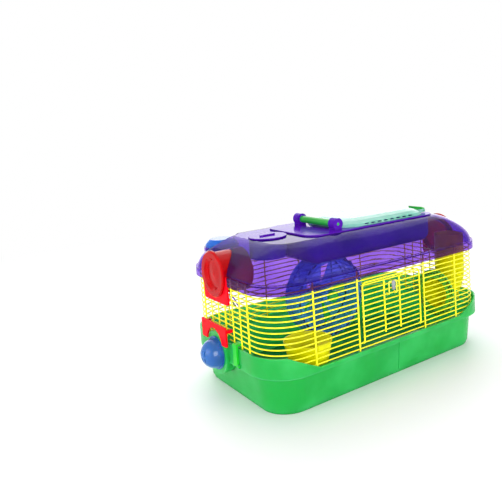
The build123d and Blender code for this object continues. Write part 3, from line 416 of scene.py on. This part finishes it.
def fill_mesh(
    mesh: bpy.types.Mesh, joined: bmesh.types.BMesh, material: bpy.types.Material
) -> None:
    """Put joined faces into a mesh in one finish.

    Args:
        mesh: The mesh to fill.
        joined: The faces, freed afterwards.
        material: Their finish.
    """
    for flat in joined.faces:
        flat.material_index = 0
    joined.to_mesh(mesh)
    joined.free()
    mesh.materials.append(material)


class NodeTool:
    """A Geometry Nodes tree with named inputs.

    Attributes:
        tree: The tree.
        sockets: The identifier of each input, by its name.
    """

    def __init__(self, name: str, inputs: dict[str, str]) -> None:
        """Start the tree with its sockets.

        Args:
            name: Name of the tree.
            inputs: Kind of each input besides the geometry, by its name.
        """
        self.tree = bpy.data.node_groups.new(name, "GeometryNodeTree")
        shape = {"Geometry": "Geometry"}
        self.sockets = add_sockets(self.tree, shape | inputs, shape)

    def run(self, maker: bpy.types.Object, values: dict[str, object]) -> bpy.types.Mesh:
        """Mesh that the tree makes from an object.

        Args:
            maker: An object in the scene.
            values: The value of each input, by its name.

        Returns:
            A new mesh.
        """
        modifier = maker.modifiers.new(self.tree.name, "NODES")
        modifier.node_group = self.tree
        for name, value in values.items():
            modifier[self.sockets[name]] = value
        mesh = evaluated_mesh(maker)
        maker.modifiers.clear()
        return mesh


@dataclass
class Run:
    """Centre line of one wire.

    Attributes:
        points: Points along the wire, in metres.
        radius: The wire's radius, in metres.
        closed: Whether the last point joins the first.
    """

    points: list[Vector]
    radius: float
    closed: bool = False


def islands(node: str) -> list[list[Vector]]:
    """Corner points of each separate solid in a CAD node.

    Args:
        node: Name of the CAD node.

    Returns:
        One list of points per solid.
    """
    welded = bmesh.new()
    welded.from_mesh(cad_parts[node].data)
    bmesh.ops.remove_doubles(welded, verts=welded.verts, dist=WELD)
    seen: set[bmesh.types.BMVert] = set()
    found = []
    for first in welded.verts:
        if first in seen:
            continue
        seen.add(first)
        stack, points = [first], []
        while stack:
            vert = stack.pop()
            points.append(vert.co.copy())
            for edge in vert.link_edges:
                other = edge.other_vert(vert)
                if other not in seen:
                    seen.add(other)
                    stack.append(other)
        found.append(points)
    welded.free()
    return found


def run_of(points: list[Vector]) -> Run:
    """Centre line of one straight or quarter-turn wire.

    Args:
        points: The corner points of the wire's solid.

    Returns:
        The wire as a run of points with its radius.
    """
    low = Vector(map(min, zip(*points)))
    high = Vector(map(max, zip(*points)))
    size = high - low
    middle = (low + high) / 2
    least, middling, most = sorted(range(3), key=lambda i: size[i])
    if size[middling] < size[most] / 2:
        along = Vector((0, 0, 0))
        along[most] = size[most] / 2
        return Run([middle - along, middle + along], size[middling] / 2)
    radius = size[least] / 2
    turn_x = math.copysign(1, middle.x)
    turn_y = math.copysign(1, middle.y)
    centre_x = low.x if turn_x > 0 else high.x
    centre_y = low.y if turn_y > 0 else high.y
    reach = size.x - radius
    arc = []
    for i in range(BEND_POINTS + 1):
        turn = math.pi / 2 * i / BEND_POINTS
        x = centre_x + turn_x * reach * math.cos(turn)
        y = centre_y + turn_y * reach * math.sin(turn)
        arc.append(Vector((x, y, middle.z)))
    return Run(arc, radius)


def rounded(points: list[Vector], radius: float) -> list[Vector]:
    """A path with its inner corners rounded.

    Args:
        points: Corner points of the path.
        radius: Distance from each corner at which its curve starts.

    Returns:
        The path with a smooth curve at each inner corner.
    """
    path = [points[0]]
    steps = BEND_POINTS // 2
    for before, corner, after in zip(points, points[1:], points[2:]):
        first = corner + (before - corner).normalized() * radius
        last = corner + (after - corner).normalized() * radius
        for i in range(steps + 1):
            t = i / steps
            path.append(first.lerp(corner, t).lerp(corner.lerp(last, t), t))
    path.append(points[-1])
    return path


def circle(radius: float, steps: int = CIRCLE_POINTS) -> list[Pair]:
    """Points around a circle in a plane.

    Args:
        radius: The circle's radius.
        steps: Number of points.

    Returns:
        The points, anticlockwise.
    """
    turns = [2 * math.pi * i / steps for i in range(steps)]
    return [(radius * math.cos(t), radius * math.sin(t)) for t in turns]


def ring(centre: Vector, radius: float, wire: float) -> Run:
    """A closed eye of wire around a bar that runs along X.

    Args:
        centre: Middle of the eye.
        radius: Radius at the middle of the wire.
        wire: Radius of the wire.

    Returns:
        The eye as a closed run.
    """
    points = [centre + Vector((0, y, z)) for y, z in circle(radius, EYE_POINTS)]
    return Run(points, wire, closed=True)


class RoundWire(NodeTool):
    """Geometry Nodes tree that sweeps runs of wire into round bars.

    Attributes:
        SIDES: Number of faces around a bar.
    """

    SIDES = 10

    def __init__(self) -> None:
        """Build the tree."""
        super().__init__(
            "RoundWire",
            {
                "Row Radius": "Float",
                "Post Radius": "Float",
                "Sides": "Int",
                "Finish": "Material",
            },
        )
        nodes, links = self.tree.nodes, self.tree.links
        start = nodes.new("NodeGroupInput")
        end = nodes.new("NodeGroupOutput")
        post = nodes.new("GeometryNodeInputNamedAttribute")
        post.data_type = "BOOLEAN"
        set_inputs(post, {"Name": "post"})
        row = nodes.new("FunctionNodeBooleanMath")
        row.operation = "NOT"
        join = nodes.new("GeometryNodeJoinGeometry")
        realize = nodes.new("GeometryNodeRealizeInstances")
        smooth = nodes.new("GeometryNodeSetShadeSmooth")
        paint = nodes.new("GeometryNodeSetMaterial")
        is_post, is_row = post.outputs["Attribute"], row.outputs[0]
        links.new(is_post, row.inputs[0])
        for chosen, name in ((is_row, "Row Radius"), (is_post, "Post Radius")):
            path = nodes.new("GeometryNodeMeshToCurve")
            section = nodes.new("GeometryNodeCurvePrimitiveCircle")
            bar = nodes.new("GeometryNodeCurveToMesh")
            set_inputs(bar, {"Fill Caps": True})
            links.new(start.outputs["Geometry"], path.inputs["Mesh"])
            links.new(chosen, path.inputs["Selection"])
            links.new(start.outputs["Sides"], section.inputs["Resolution"])
            links.new(start.outputs[name], section.inputs["Radius"])
            links.new(path.outputs["Curve"], bar.inputs["Curve"])
            links.new(section.outputs["Curve"], bar.inputs["Profile Curve"])
            links.new(bar.outputs["Mesh"], join.inputs["Geometry"])
        links.new(join.outputs["Geometry"], realize.inputs["Geometry"])
        links.new(realize.outputs["Geometry"], smooth.inputs["Geometry"])
        links.new(smooth.outputs["Geometry"], paint.inputs["Geometry"])
        links.new(start.outputs["Finish"], paint.inputs["Material"])
        links.new(paint.outputs["Geometry"], end.inputs["Geometry"])

    def sweep(
        self, name: str, runs: list[Run], material: bpy.types.Material
    ) -> bpy.types.Object:
        """Make runs of wire into one mesh object.

        Args:
            name: Name of the finished object.
            runs: The wires' centre lines.
            material: Finish of the wire.

        Returns:
            The finished object, linked to the scene.
        """
        thin = min(run.radius for run in runs)
        thick = max(run.radius for run in runs)
        points: list[Vector] = []
        edges: list[tuple[int, int]] = []
        posts: list[bool] = []
        for run in runs:
            first = len(points)
            count = len(run.points)
            points.extend(run.points)
            steps = [(first + i, first + i + 1) for i in range(count - 1)]
            if run.closed:
                steps.append((first + count - 1, first))
            edges.extend(steps)
            posts.extend([run.radius > (thin + thick) / 2] * len(steps))
        lines = bpy.data.meshes.new(name)
        lines.from_pydata(points, edges, [])
        lines.attributes.new("post", "BOOLEAN", "EDGE").data.foreach_set("value", posts)
        maker = linked(name, lines)
        maker.data = self.run(
            maker,
            {
                "Row Radius": thin,
                "Post Radius": thick,
                "Sides": self.SIDES,
                "Finish": material,
            },
        )
        bpy.data.meshes.remove(lines)
        maker.data.name = name
        return maker


@dataclass(frozen=True)
class Ring:
    """One ring of dark inlays of painted shade, one per slot, on a flat round face.

    Attributes:
        middle: Middle of the ring, on the face.
        radius: Radius at the middle of the slots.
        count: Number of slots.
        length: Length of a slot along the ring.
        width: Width of a slot.
    """

    middle: Vector
    radius: float
    count: int
    length: float
    width: float


class SlotShadeTree(NodeTool):
    """Geometry Nodes tree that sets a ring of round-ended dark inlays on a face, painted shade for
    slots.

    Attributes:
        DEPTH: Thickness of a slot's inlay.
        SINK: How far the inlay reaches into the face.
        CORNER_POINTS: Steps around a slot's corner.
        CORNER_SHARE: Radius of a slot's corner as a share of its width.
    """

    DEPTH = 0.3 * MM
    SINK = 0.05 * MM
    CORNER_POINTS = 3
    CORNER_SHARE = 0.45

    def __init__(self) -> None:
        """Build the tree."""
        super().__init__(
            "SlotShadeTree",
            {
                "Count": "Int",
                "Radius": "Float",
                "Length": "Float",
                "Width": "Float",
                "Depth": "Float",
                "Middle": "Vector",
                "Turn": "Vector",
                "Finish": "Material",
            },
        )
        nodes, links = self.tree.nodes, self.tree.links
        start = nodes.new("NodeGroupInput")
        end = nodes.new("NodeGroupOutput")
        outline = nodes.new("GeometryNodeCurvePrimitiveQuadrilateral")
        corner = nodes.new("ShaderNodeMath")
        corner.operation = "MULTIPLY"
        corner.inputs[1].default_value = self.CORNER_SHARE
        fillet = nodes.new("GeometryNodeFilletCurve")
        fillet.mode = "POLY"
        set_inputs(fillet, {"Count": self.CORNER_POINTS})
        fill = nodes.new("GeometryNodeFillCurve")
        fill.mode = "NGONS"
        raised = nodes.new("GeometryNodeExtrudeMesh")
        under = nodes.new("GeometryNodeFlipFaces")
        join = nodes.new("GeometryNodeJoinGeometry")
        weld = nodes.new("GeometryNodeMergeByDistance")
        set_inputs(weld, {"Distance": WELD})
        links.new(start.outputs["Length"], outline.inputs["Width"])
        links.new(start.outputs["Width"], outline.inputs["Height"])
        links.new(start.outputs["Width"], corner.inputs[0])
        links.new(outline.outputs["Curve"], fillet.inputs["Curve"])
        links.new(corner.outputs[0], fillet.inputs["Radius"])
        links.new(fillet.outputs["Curve"], fill.inputs["Curve"])
        links.new(fill.outputs["Mesh"], raised.inputs["Mesh"])
        links.new(start.outputs["Depth"], raised.inputs["Offset Scale"])
        links.new(fill.outputs["Mesh"], under.inputs["Mesh"])
        links.new(raised.outputs["Mesh"], join.inputs["Geometry"])
        links.new(under.outputs["Mesh"], join.inputs["Geometry"])
        links.new(join.outputs["Geometry"], weld.inputs["Geometry"])
        spots = nodes.new("GeometryNodeMeshCircle")
        spot = nodes.new("GeometryNodeInputPosition")
        parts = nodes.new("ShaderNodeSeparateXYZ")
        angle = nodes.new("ShaderNodeMath")
        angle.operation = "ARCTAN2"
        across = nodes.new("ShaderNodeMath")
        across.inputs[1].default_value = math.pi / 2
        turn = nodes.new("ShaderNodeCombineXYZ")
        spread = nodes.new("GeometryNodeInstanceOnPoints")
        place = nodes.new("GeometryNodeTransform")
        realize = nodes.new("GeometryNodeRealizeInstances")
        paint = nodes.new("GeometryNodeSetMaterial")
        links.new(start.outputs["Count"], spots.inputs["Vertices"])
        links.new(start.outputs["Radius"], spots.inputs["Radius"])
        links.new(spot.outputs["Position"], parts.inputs["Vector"])
        links.new(parts.outputs["Y"], angle.inputs[0])
        links.new(parts.outputs["X"], angle.inputs[1])
        links.new(angle.outputs[0], across.inputs[0])
        links.new(across.outputs[0], turn.inputs["Z"])
        links.new(spots.outputs["Mesh"], spread.inputs["Points"])
        links.new(weld.outputs["Geometry"], spread.inputs["Instance"])
        links.new(turn.outputs["Vector"], spread.inputs["Rotation"])
        links.new(spread.outputs["Instances"], place.inputs["Geometry"])
        links.new(start.outputs["Turn"], place.inputs["Rotation"])
        links.new(start.outputs["Middle"], place.inputs["Translation"])
        links.new(place.outputs["Geometry"], realize.inputs["Geometry"])
        links.new(realize.outputs["Geometry"], paint.inputs["Geometry"])
        links.new(start.outputs["Finish"], paint.inputs["Material"])
        links.new(paint.outputs["Geometry"], end.inputs["Geometry"])

    def cut(
        self, name: str, rings: list[Ring], turn: Triple, material: bpy.types.Material
    ) -> bpy.types.Object:
        """Make rings of painted slot shade as one mesh object.

        Args:
            name: Name of the finished object.
            rings: The rings, all on faces that look the same way.
            turn: Euler angles that turn +Z to the way the faces look.
            material: Dark finish that paints the shade in the slots.

        Returns:
            The finished object, linked to the scene.
        """
        facing = Euler(turn).to_matrix() @ Vector((0, 0, 1))
        joined = bmesh.new()
        maker = linked(name, bpy.data.meshes.new(name))
        for one in rings:
            made = self.run(
                maker,
                {
                    "Count": one.count,
                    "Radius": one.radius,
                    "Length": one.length,
                    "Width": one.width,
                    "Depth": self.DEPTH,
                    "Middle": list(one.middle - facing * self.SINK),
                    "Turn": turn,
                    "Finish": material,
                },
            )
            joined.from_mesh(made)
            bpy.data.meshes.remove(made)
        fill_mesh(maker.data, joined, material)
        return maker


@dataclass
class SlotShades:
    """Painted shade: dark sheets for the slots around the wheel's rims and the tube's flange.

    Attributes:
        paint: Where the finishes come from.
        ring: The tree that makes the slots.
        wheel_count: Slots in each of the wheel's rings.
        wheel_size: Length and width of a slot on the wheel.
        wheel_insets: How far in from the edge the front and the back ring lie.
        flange_count: Slots in each of the flange's rings.
        flange_size: Length and width of a slot on the flange.
        flange_insets: How far in from the edge its two rings lie.
    """

    paint: Paint
    ring: SlotShadeTree
    wheel_count: int = 30
    wheel_size: Pair = (10 * MM, 2.6 * MM)
    wheel_insets: Pair = (4.5 * MM, 9.5 * MM)
    flange_count: int = 34
    flange_size: Pair = (4.8 * MM, 2.2 * MM)
    flange_insets: Pair = (3 * MM, 7.5 * MM)

    def build(self) -> None:
        """Make the painted shade of the slots of the wheel and of the flange."""
        low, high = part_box("exercise_wheel")
        middle = (low + high) / 2
        outer = (high.x - low.x) / 2
        rings = [
            Ring(
                Vector((middle.x, face, middle.z)),
                outer - inset,
                self.wheel_count,
                *self.wheel_size,
            )
            for face, inset in zip((low.y, high.y), self.wheel_insets)
        ]
        # Painted shade: dark sheets on both faces of the wheel stand for the shade in its slots.
        self.place("wheel_slot_shades", rings, (math.pi / 2, 0.0, 0.0), Look.WHEEL_SLOT_SHADE, "wheel")
        low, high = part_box("tube_flange")
        outer = (high.z - low.z) / 2
        middle = Vector((low.x, high.y - outer, (low.z + high.z) / 2))
        rings = [
            Ring(middle, outer - inset, self.flange_count, *self.flange_size)
            for inset in self.flange_insets
        ]
        # Painted shade: dark sheets on the flange stand for the shade in its slots.
        self.place("flange_slot_shades", rings, (0.0, -math.pi / 2, 0.0), Look.FLANGE_SLOT_SHADE, "cage")

    def place(
        self, name: str, rings: list[Ring], turn: Triple, look: Look, body: str
    ) -> None:
        """Make rings of painted slot shade and put them on a body.

        Args:
            name: Name of the new piece.
            rings: Its rings.
            turn: Euler angles that turn +Z to the way the faces look.
            look: Its finish.
            body: The body it moves with.
        """
        piece = self.ring.cut(name, rings, turn, self.paint.material(look))
        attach(piece, body)
        log.info("%s: %d slots", name, sum(one.count for one in rings))


def plate(outlines: list[list[Pair]], thickness: float, edge: float) -> bpy.types.Mesh:
    """Flat plate with holes and softened edges, centred on the origin and facing Z.

    Args:
        outlines: The outer outline and the holes.
        thickness: The plate's thickness.
        edge: Size of the softened edge.

    Returns:
        The plate's mesh.
    """
    flat = bpy.data.curves.new("plate", "CURVE")
    flat.dimensions = "2D"
    flat.fill_mode = "BOTH"
    flat.extrude = thickness / 2 - edge
    flat.bevel_depth = edge
    flat.bevel_resolution = 1
    flat.offset = -edge
    for outline in outlines:
        spline = flat.splines.new("POLY")
        spline.points.add(len(outline) - 1)
        for point, (x, y) in zip(spline.points, outline):
            point.co = (x, y, 0.0, 1.0)
        spline.use_cyclic_u = True
    maker = linked("plate", flat)
    mesh = evaluated_mesh(maker)
    bpy.data.objects.remove(maker)
    bpy.data.curves.remove(flat)
    return mesh


@dataclass
class Spider:
    """Spoked back plate and hub of the exercise wheel.

    Attributes:
        paint: Where the finish comes from.
        openings: Number of openings between the spokes.
        rim: Width of the plate outside the openings.
        web: Half the angle of a spoke.
        collar: Width of the plate between the hub and the openings.
        wall: Thickness of the plate.
        bore: Radius of the hole for the axle.
        hub: Radius of the hub.
        edge: Size of the softened edges.
        arc_steps: Steps along an opening's curved sides.
    """

    paint: Paint
    openings: int = 5
    rim: float = 13 * MM
    web: float = math.radians(27.0)
    collar: float = 9 * MM
    wall: float = 2 * MM
    bore: float = 4.06 * MM
    hub: float = 11 * MM
    edge: float = 0.3 * MM
    arc_steps: int = 12

    def opening(self, index: int, inner: float, outer: float) -> list[Pair]:
        """Outline of one opening between two spokes.

        Args:
            index: Which opening, counted around the wheel.
            inner: Radius of its inner edge.
            outer: Radius of its outer edge.

        Returns:
            The outline's points.
        """
        middle = 2 * math.pi * index / self.openings
        reach = math.pi / self.openings - self.web
        steps = [2 * i / self.arc_steps - 1 for i in range(self.arc_steps + 1)]
        far = [middle + reach * s for s in steps]
        near = [middle - reach / 2 * s for s in steps]
        return [(outer * math.cos(t), outer * math.sin(t)) for t in far] + [
            (inner * math.cos(t), inner * math.sin(t)) for t in near
        ]

    def build(self) -> None:
        """Make the plate and the hub as one piece on the wheel's body."""
        low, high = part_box("wheel_spider")
        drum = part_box("exercise_wheel")
        outer = (high.x - low.x) / 2
        middle = (low + high) / 2
        holes = [
            self.opening(i, self.hub + self.collar, outer - self.rim) for i in range(self.openings)
        ]
        back = plate([circle(outer), circle(self.bore)] + holes, self.wall, self.edge)
        boss = plate([circle(self.hub), circle(self.bore)], high.y - low.y, self.edge)
        turn = Matrix.Rotation(math.pi / 2, 4, "X")
        joined = bmesh.new()
        for mesh, depth in ((back, drum[1].y + self.wall / 2), (boss, middle.y)):
            mesh.transform(Matrix.Translation(Vector((middle.x, depth, middle.z))) @ turn)
            joined.from_mesh(mesh)
            bpy.data.meshes.remove(mesh)
        bmesh.ops.remove_doubles(joined, verts=joined.verts, dist=WELD)
        bmesh.ops.recalc_face_normals(joined, faces=joined.faces)
        piece = linked("spoked_spider", bpy.data.meshes.new("spoked_spider"))
        fill_mesh(piece.data, joined, self.paint.material(Look.WHEEL))
        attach(piece, "wheel")
        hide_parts("wheel_spider")
        log.info("%s: %d openings", piece.name, self.openings)


@dataclass
class Walls:
    """Welded wire walls that stand on the tray.

    Attributes:
        paint: Where the finish comes from.
        wire: The tree that sweeps the wire.
        nodes: The walls' CAD nodes.
    """

    paint: Paint
    wire: RoundWire
    nodes: tuple[str, ...] = (
        "front_wires",
        "back_wires",
        "left_wires",
        "right_wires",
        "corner_wires",
    )

    def build(self) -> None:
        """Replace each wall's six-sided bars with round wire."""
        for node in self.nodes:
            runs = [run_of(points) for points in islands(node)]
            wall = self.wire.sweep(f"round_{node}", runs, self.paint.material(Look.WIRE))
            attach(wall, "cage")
            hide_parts(node)
            log.info("%s: %d wires", wall.name, len(runs))


@dataclass
class Door:
    """Front door of wire with its latch.

    Attributes:
        paint: Where the finishes come from.
        wire: The tree that sweeps the wire.
        corner: Where the curve of the hoop's corners starts.
        eye: Radius of a hinge eye, at the middle of its wire.
        eye_wire: Radius of the eyes' wire.
        eye_inset: How far in from the ends the eyes' middles lie.
    """

    paint: Paint
    wire: RoundWire
    corner: float = 9 * MM
    eye: float = 1.8 * MM
    eye_wire: float = 0.65 * MM
    eye_inset: float = 2 * MM

    def build(self) -> None:
        """Make the bars, the hoop and the latch loop."""
        bars = [run_of(points) for points in islands("door_bars")]
        row = min(run.radius for run in bars)
        post = max(run.radius for run in bars)
        self.place("round_door_bars", bars, Look.WIRE, "door", "door_bars")
        low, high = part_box("door_frame")
        left, right = self.eye_middles(low, high)
        front, top, foot = low.y + post, high.z - post, left.z + self.eye
        hoop = [
            Vector((left.x, front, foot)),
            Vector((left.x, front, top)),
            Vector((right.x, front, top)),
            Vector((right.x, front, foot)),
        ]
        runs = [Run(rounded(hoop, self.corner), post)] + self.eyes(left, right)
        self.place("round_door_frame", runs, Look.WIRE, "door", "door_frame")
        low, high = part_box("door_latch")
        left, right = self.eye_middles(low, high)
        front, top, back = low.y + row, high.z - row, left.y - self.eye
        loop = [
            Vector((left.x, back, left.z)),
            Vector((left.x, front, left.z)),
            Vector((left.x, front, top)),
            Vector((right.x, front, top)),
            Vector((right.x, front, right.z)),
            Vector((right.x, back, right.z)),
        ]
        runs = [Run(rounded(loop, 2 * row), row)] + self.eyes(left, right)
        self.place("round_door_latch", runs, Look.LATCH_WIRE, "door_latch", "door_latch")
        self.paint.coat_node("latch_tab", Look.TAB)

    def eye_middles(self, low: Vector, high: Vector) -> list[Vector]:
        """Middles of the two eyes of a hooked wire along X.

        Args:
            low: Lowest corner of its box.
            high: Highest corner of its box.

        Returns:
            The left and the right middle.
        """
        y = high.y - self.eye - self.eye_wire
        z = low.z + self.eye + self.eye_wire
        return [Vector((x, y, z)) for x in (low.x + self.eye_inset, high.x - self.eye_inset)]

    def eyes(self, left: Vector, right: Vector) -> list[Run]:
        """The two eyes of a hooked wire.

        Args:
            left: Middle of the left eye.
            right: Middle of the right eye.

        Returns:
            The eyes as closed runs.
        """
        return [ring(middle, self.eye, self.eye_wire) for middle in (left, right)]

    def place(self, name: str, runs: list[Run], look: Look, body: str, node: str) -> None:
        """Sweep runs and put them on a body in place of a CAD node.

        Args:
            name: Name of the new piece.
            runs: Its wires.
            look: Its finish.
            body: The body it moves with.
            node: The CAD node it stands for.
        """
        piece = self.wire.sweep(name, runs, self.paint.material(look))
        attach(piece, body)
        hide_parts(node)
        log.info("%s: %d wires", name, len(runs))


@dataclass
class Mouldings:
    """Plastic and metal pieces shown as their CAD nodes.

    Attributes:
        paint: Where the finishes come from.
        looks: The finish of each CAD node.
    """

    paint: Paint
    looks: dict[str, Look] = field(
        default_factory=lambda: {
            "base_tray": Look.TRAY,
            "left_clip": Look.CLIP,
            "right_clip": Look.CLIP,
            "left_upper_plate": Look.PLATE,
            "right_upper_plate": Look.PLATE,
            "left_lower_plate": Look.PLATE,
            "left_upper_plug": Look.RED_PLUG,
            "right_upper_plug": Look.RED_PLUG,
            "left_lower_plug": Look.BLUE_PLUG,
            "top_cover": Look.COVER,
            "roof_ring": Look.ZONE,
            "bottle_sleeve": Look.COVER,
            "roof_cap": Look.ZONE,
            "petting_tub": Look.ZONE,
            "petting_gate": Look.GATE,
            "hatch_pin": Look.PIN,
            "hatch_lid": Look.LID,
            "hatch_barrel": Look.PIN,
            "hatch_latch": Look.PIN,
            "water_bottle": Look.BOTTLE,
            "bottle_cap": Look.CAP,
            "sipper_tube": Look.SIPPER,
            "exercise_wheel": Look.WHEEL,
            "wheel_axle": Look.AXLE,
            "axle_cap": Look.STAND,
            "wheel_stand": Look.STAND,
            "food_dish": Look.DISH,
            "climb_tube": Look.TUBE,
            "tube_elbow": Look.TUBE,
            "tube_flange": Look.FLANGE,
        }
    )

    def build(self) -> None:
        """Give every moulding its finish."""
        for node, look in self.looks.items():
            self.paint.coat_node(node, look)


@dataclass(frozen=True)
class Softbox:
    """One area light.

    Attributes:
        name: Name of the light.
        place: Where it stands, in metres.
        power: Its power in watts.
        width: Its width and height, in metres.
        hidden: Whether it stays unseen through clear plastic.
    """

    name: str
    place: Triple
    power: float
    width: float
    hidden: bool = False


def seen_directly(tree: bpy.types.NodeTree) -> bpy.types.NodeSocket:
    """Mask that is 1 for camera, glossy and transmission rays.

    Args:
        tree: The node tree to add it to.

    Returns:
        The mask's output.
    """
    path = tree.nodes.new("ShaderNodeLightPath")
    total = path.outputs["Is Camera Ray"]
    for name in ("Is Glossy Ray", "Is Transmission Ray"):
        either = tree.nodes.new("ShaderNodeMath")
        either.operation = "MAXIMUM"
        tree.links.new(total, either.inputs[0])
        tree.links.new(path.outputs[name], either.inputs[1])
        total = either.outputs[0]
    return total


@dataclass
class Studio:
    """Floor, light and camera.

    Attributes:
        eye: Where the camera stands, in metres.
        yaw: Its turn from +Y towards +X, in radians.
        pitch: How far it looks down, in radians.
        roll: Its turn around its own axis, in radians.
        focal_px: Its focal length in pixels.
        centre_px: Where its axis meets the picture, from the middle, in pixels.
        sensor: Width of its sensor, in millimetres.
        floor_side: Length of the floor, in metres.
        floor_tone: Colour of the floor.
        floor_roughness: Roughness of the floor.
        fade_start: Distance at which the floor starts to run into the backdrop.
        fade_end: Distance at which only the backdrop shows.
        backdrop: Colour of the backdrop.
        surround: Strength of the light from all around.
        aim: The point that the lights face.
        lights: The soft boxes.
    """

    eye: Triple = (-0.649, -0.809, 0.422)
    yaw: float = 0.63
    pitch: float = 0.0966
    roll: float = -0.06
    focal_px: float = 553.0
    centre_px: Pair = (60.0, -60.0)
    sensor: float = 36.0
    floor_side: float = 40.0
    floor_tone: Colour = rgb(0.88, 0.89, 0.9)
    floor_roughness: float = 0.6
    fade_start: float = 0.5
    fade_end: float = 1.8
    backdrop: Colour = rgb(1.0, 1.0, 1.0)
    surround: float = 0.62
    aim: Triple = (0.0, 0.0, 0.14)
    lights: tuple[Softbox, ...] = (
        Softbox("key", (-1.0, -1.5, 0.5), 20.0, 0.9),
        Softbox("fill", (1.0, -1.7, 0.45), 11.0, 1.2),
        Softbox("side", (-1.8, 0.1, 0.55), 12.0, 1.2),
        Softbox("top", (0.2, 0.5, 1.8), 10.0, 1.6),
        Softbox("back", (1.0, 1.7, 1.0), 40.0, 3.0, hidden=True),
    )

    def build(self) -> None:
        """Make the floor, the light and the camera."""
        self.floor()
        self.light()
        self.camera()

    def floor(self) -> None:
        """A plain pale floor that runs into the backdrop with no edge."""
        bpy.ops.mesh.primitive_plane_add(size=self.floor_side)
        floor = bpy.context.object
        floor.name = "floor"
        made = bpy.data.materials.new("floor")
        made.use_nodes = True
        nodes, links = made.node_tree.nodes, made.node_tree.links
        shader = nodes["Principled BSDF"]
        set_inputs(shader, {"Base Color": self.floor_tone, "Roughness": self.floor_roughness})
        far = nodes.new("ShaderNodeEmission")
        set_inputs(far, {"Color": self.backdrop})
        place = nodes.new("ShaderNodeTexCoord")
        reach = nodes.new("ShaderNodeVectorMath")
        reach.operation = "LENGTH"
        fade = nodes.new("ShaderNodeMapRange")
        fade.interpolation_type = "SMOOTHSTEP"
        set_inputs(fade, {"From Min": self.fade_start, "From Max": self.fade_end})
        share = nodes.new("ShaderNodeMath")
        share.operation = "MULTIPLY"
        blend = nodes.new("ShaderNodeMixShader")
        links.new(place.outputs["Object"], reach.inputs[0])
        links.new(reach.outputs["Value"], fade.inputs["Value"])
        links.new(fade.outputs["Result"], share.inputs[0])
        links.new(seen_directly(made.node_tree), share.inputs[1])
        links.new(share.outputs[0], blend.inputs[0])
        links.new(shader.outputs["BSDF"], blend.inputs[1])
        links.new(far.outputs["Emission"], blend.inputs[2])
        links.new(blend.outputs[0], nodes["Material Output"].inputs["Surface"])
        floor.data.materials.append(made)

    def light(self) -> None:
        """Soft boxes and an even pale surround."""
        for box in self.lights:
            lamp = bpy.data.lights.new(box.name, "AREA")
            lamp.energy = box.power
            lamp.size = box.width
            holder = linked(box.name, lamp)
            holder.location = box.place
            ahead = Vector(self.aim) - Vector(box.place)
            holder.rotation_euler = ahead.to_track_quat("-Z", "Y").to_euler()
            holder.visible_camera = False
            holder.visible_transmission = not box.hidden
        world = bpy.data.worlds.new("surround")
        world.use_nodes = True
        nodes, links = world.node_tree.nodes, world.node_tree.links
        back = nodes["Background"]
        set_inputs(back, {"Color": self.backdrop})
        level = nodes.new("ShaderNodeMapRange")
        set_inputs(level, {"To Min": self.surround, "To Max": 1.0})
        links.new(seen_directly(world.node_tree), level.inputs["Value"])
        links.new(level.outputs["Result"], back.inputs["Strength"])
        bpy.context.scene.world = world

    def camera(self) -> None:
        """The photograph's viewing angle and framing."""
        lens = bpy.data.cameras.new("camera")
        lens.sensor_width = self.sensor
        lens.sensor_fit = "HORIZONTAL"
        lens.lens = self.focal_px / IMAGE_SIDE * self.sensor
        lens.shift_x = -self.centre_px[0] / IMAGE_SIDE
        lens.shift_y = self.centre_px[1] / IMAGE_SIDE
        holder = linked("camera", lens)
        holder.location = self.eye
        level = math.cos(self.pitch)
        x, y = math.sin(self.yaw) * level, math.cos(self.yaw) * level
        ahead = Vector((x, y, -math.sin(self.pitch)))
        holder.rotation_euler = ahead.to_track_quat("-Z", "Y").to_euler()
        holder.rotation_euler.rotate_axis("Z", self.roll)
        bpy.context.scene.camera = holder


def main() -> None:
    """Build the looks and the studio."""
    logging.basicConfig(level=logging.INFO, format="%(message)s")
    bpy.context.scene.view_settings.view_transform = "Standard"
    paint = Paint()
    wire = RoundWire()
    Mouldings(paint).build()
    Walls(paint, wire).build()
    Door(paint, wire).build()
    Spider(paint).build()
    # Painted shade: dark sheets in the wheel's and the flange's slots.
    SlotShades(paint, SlotShadeTree()).build()
    Studio().build()


if __name__ == "__main__":
    main()
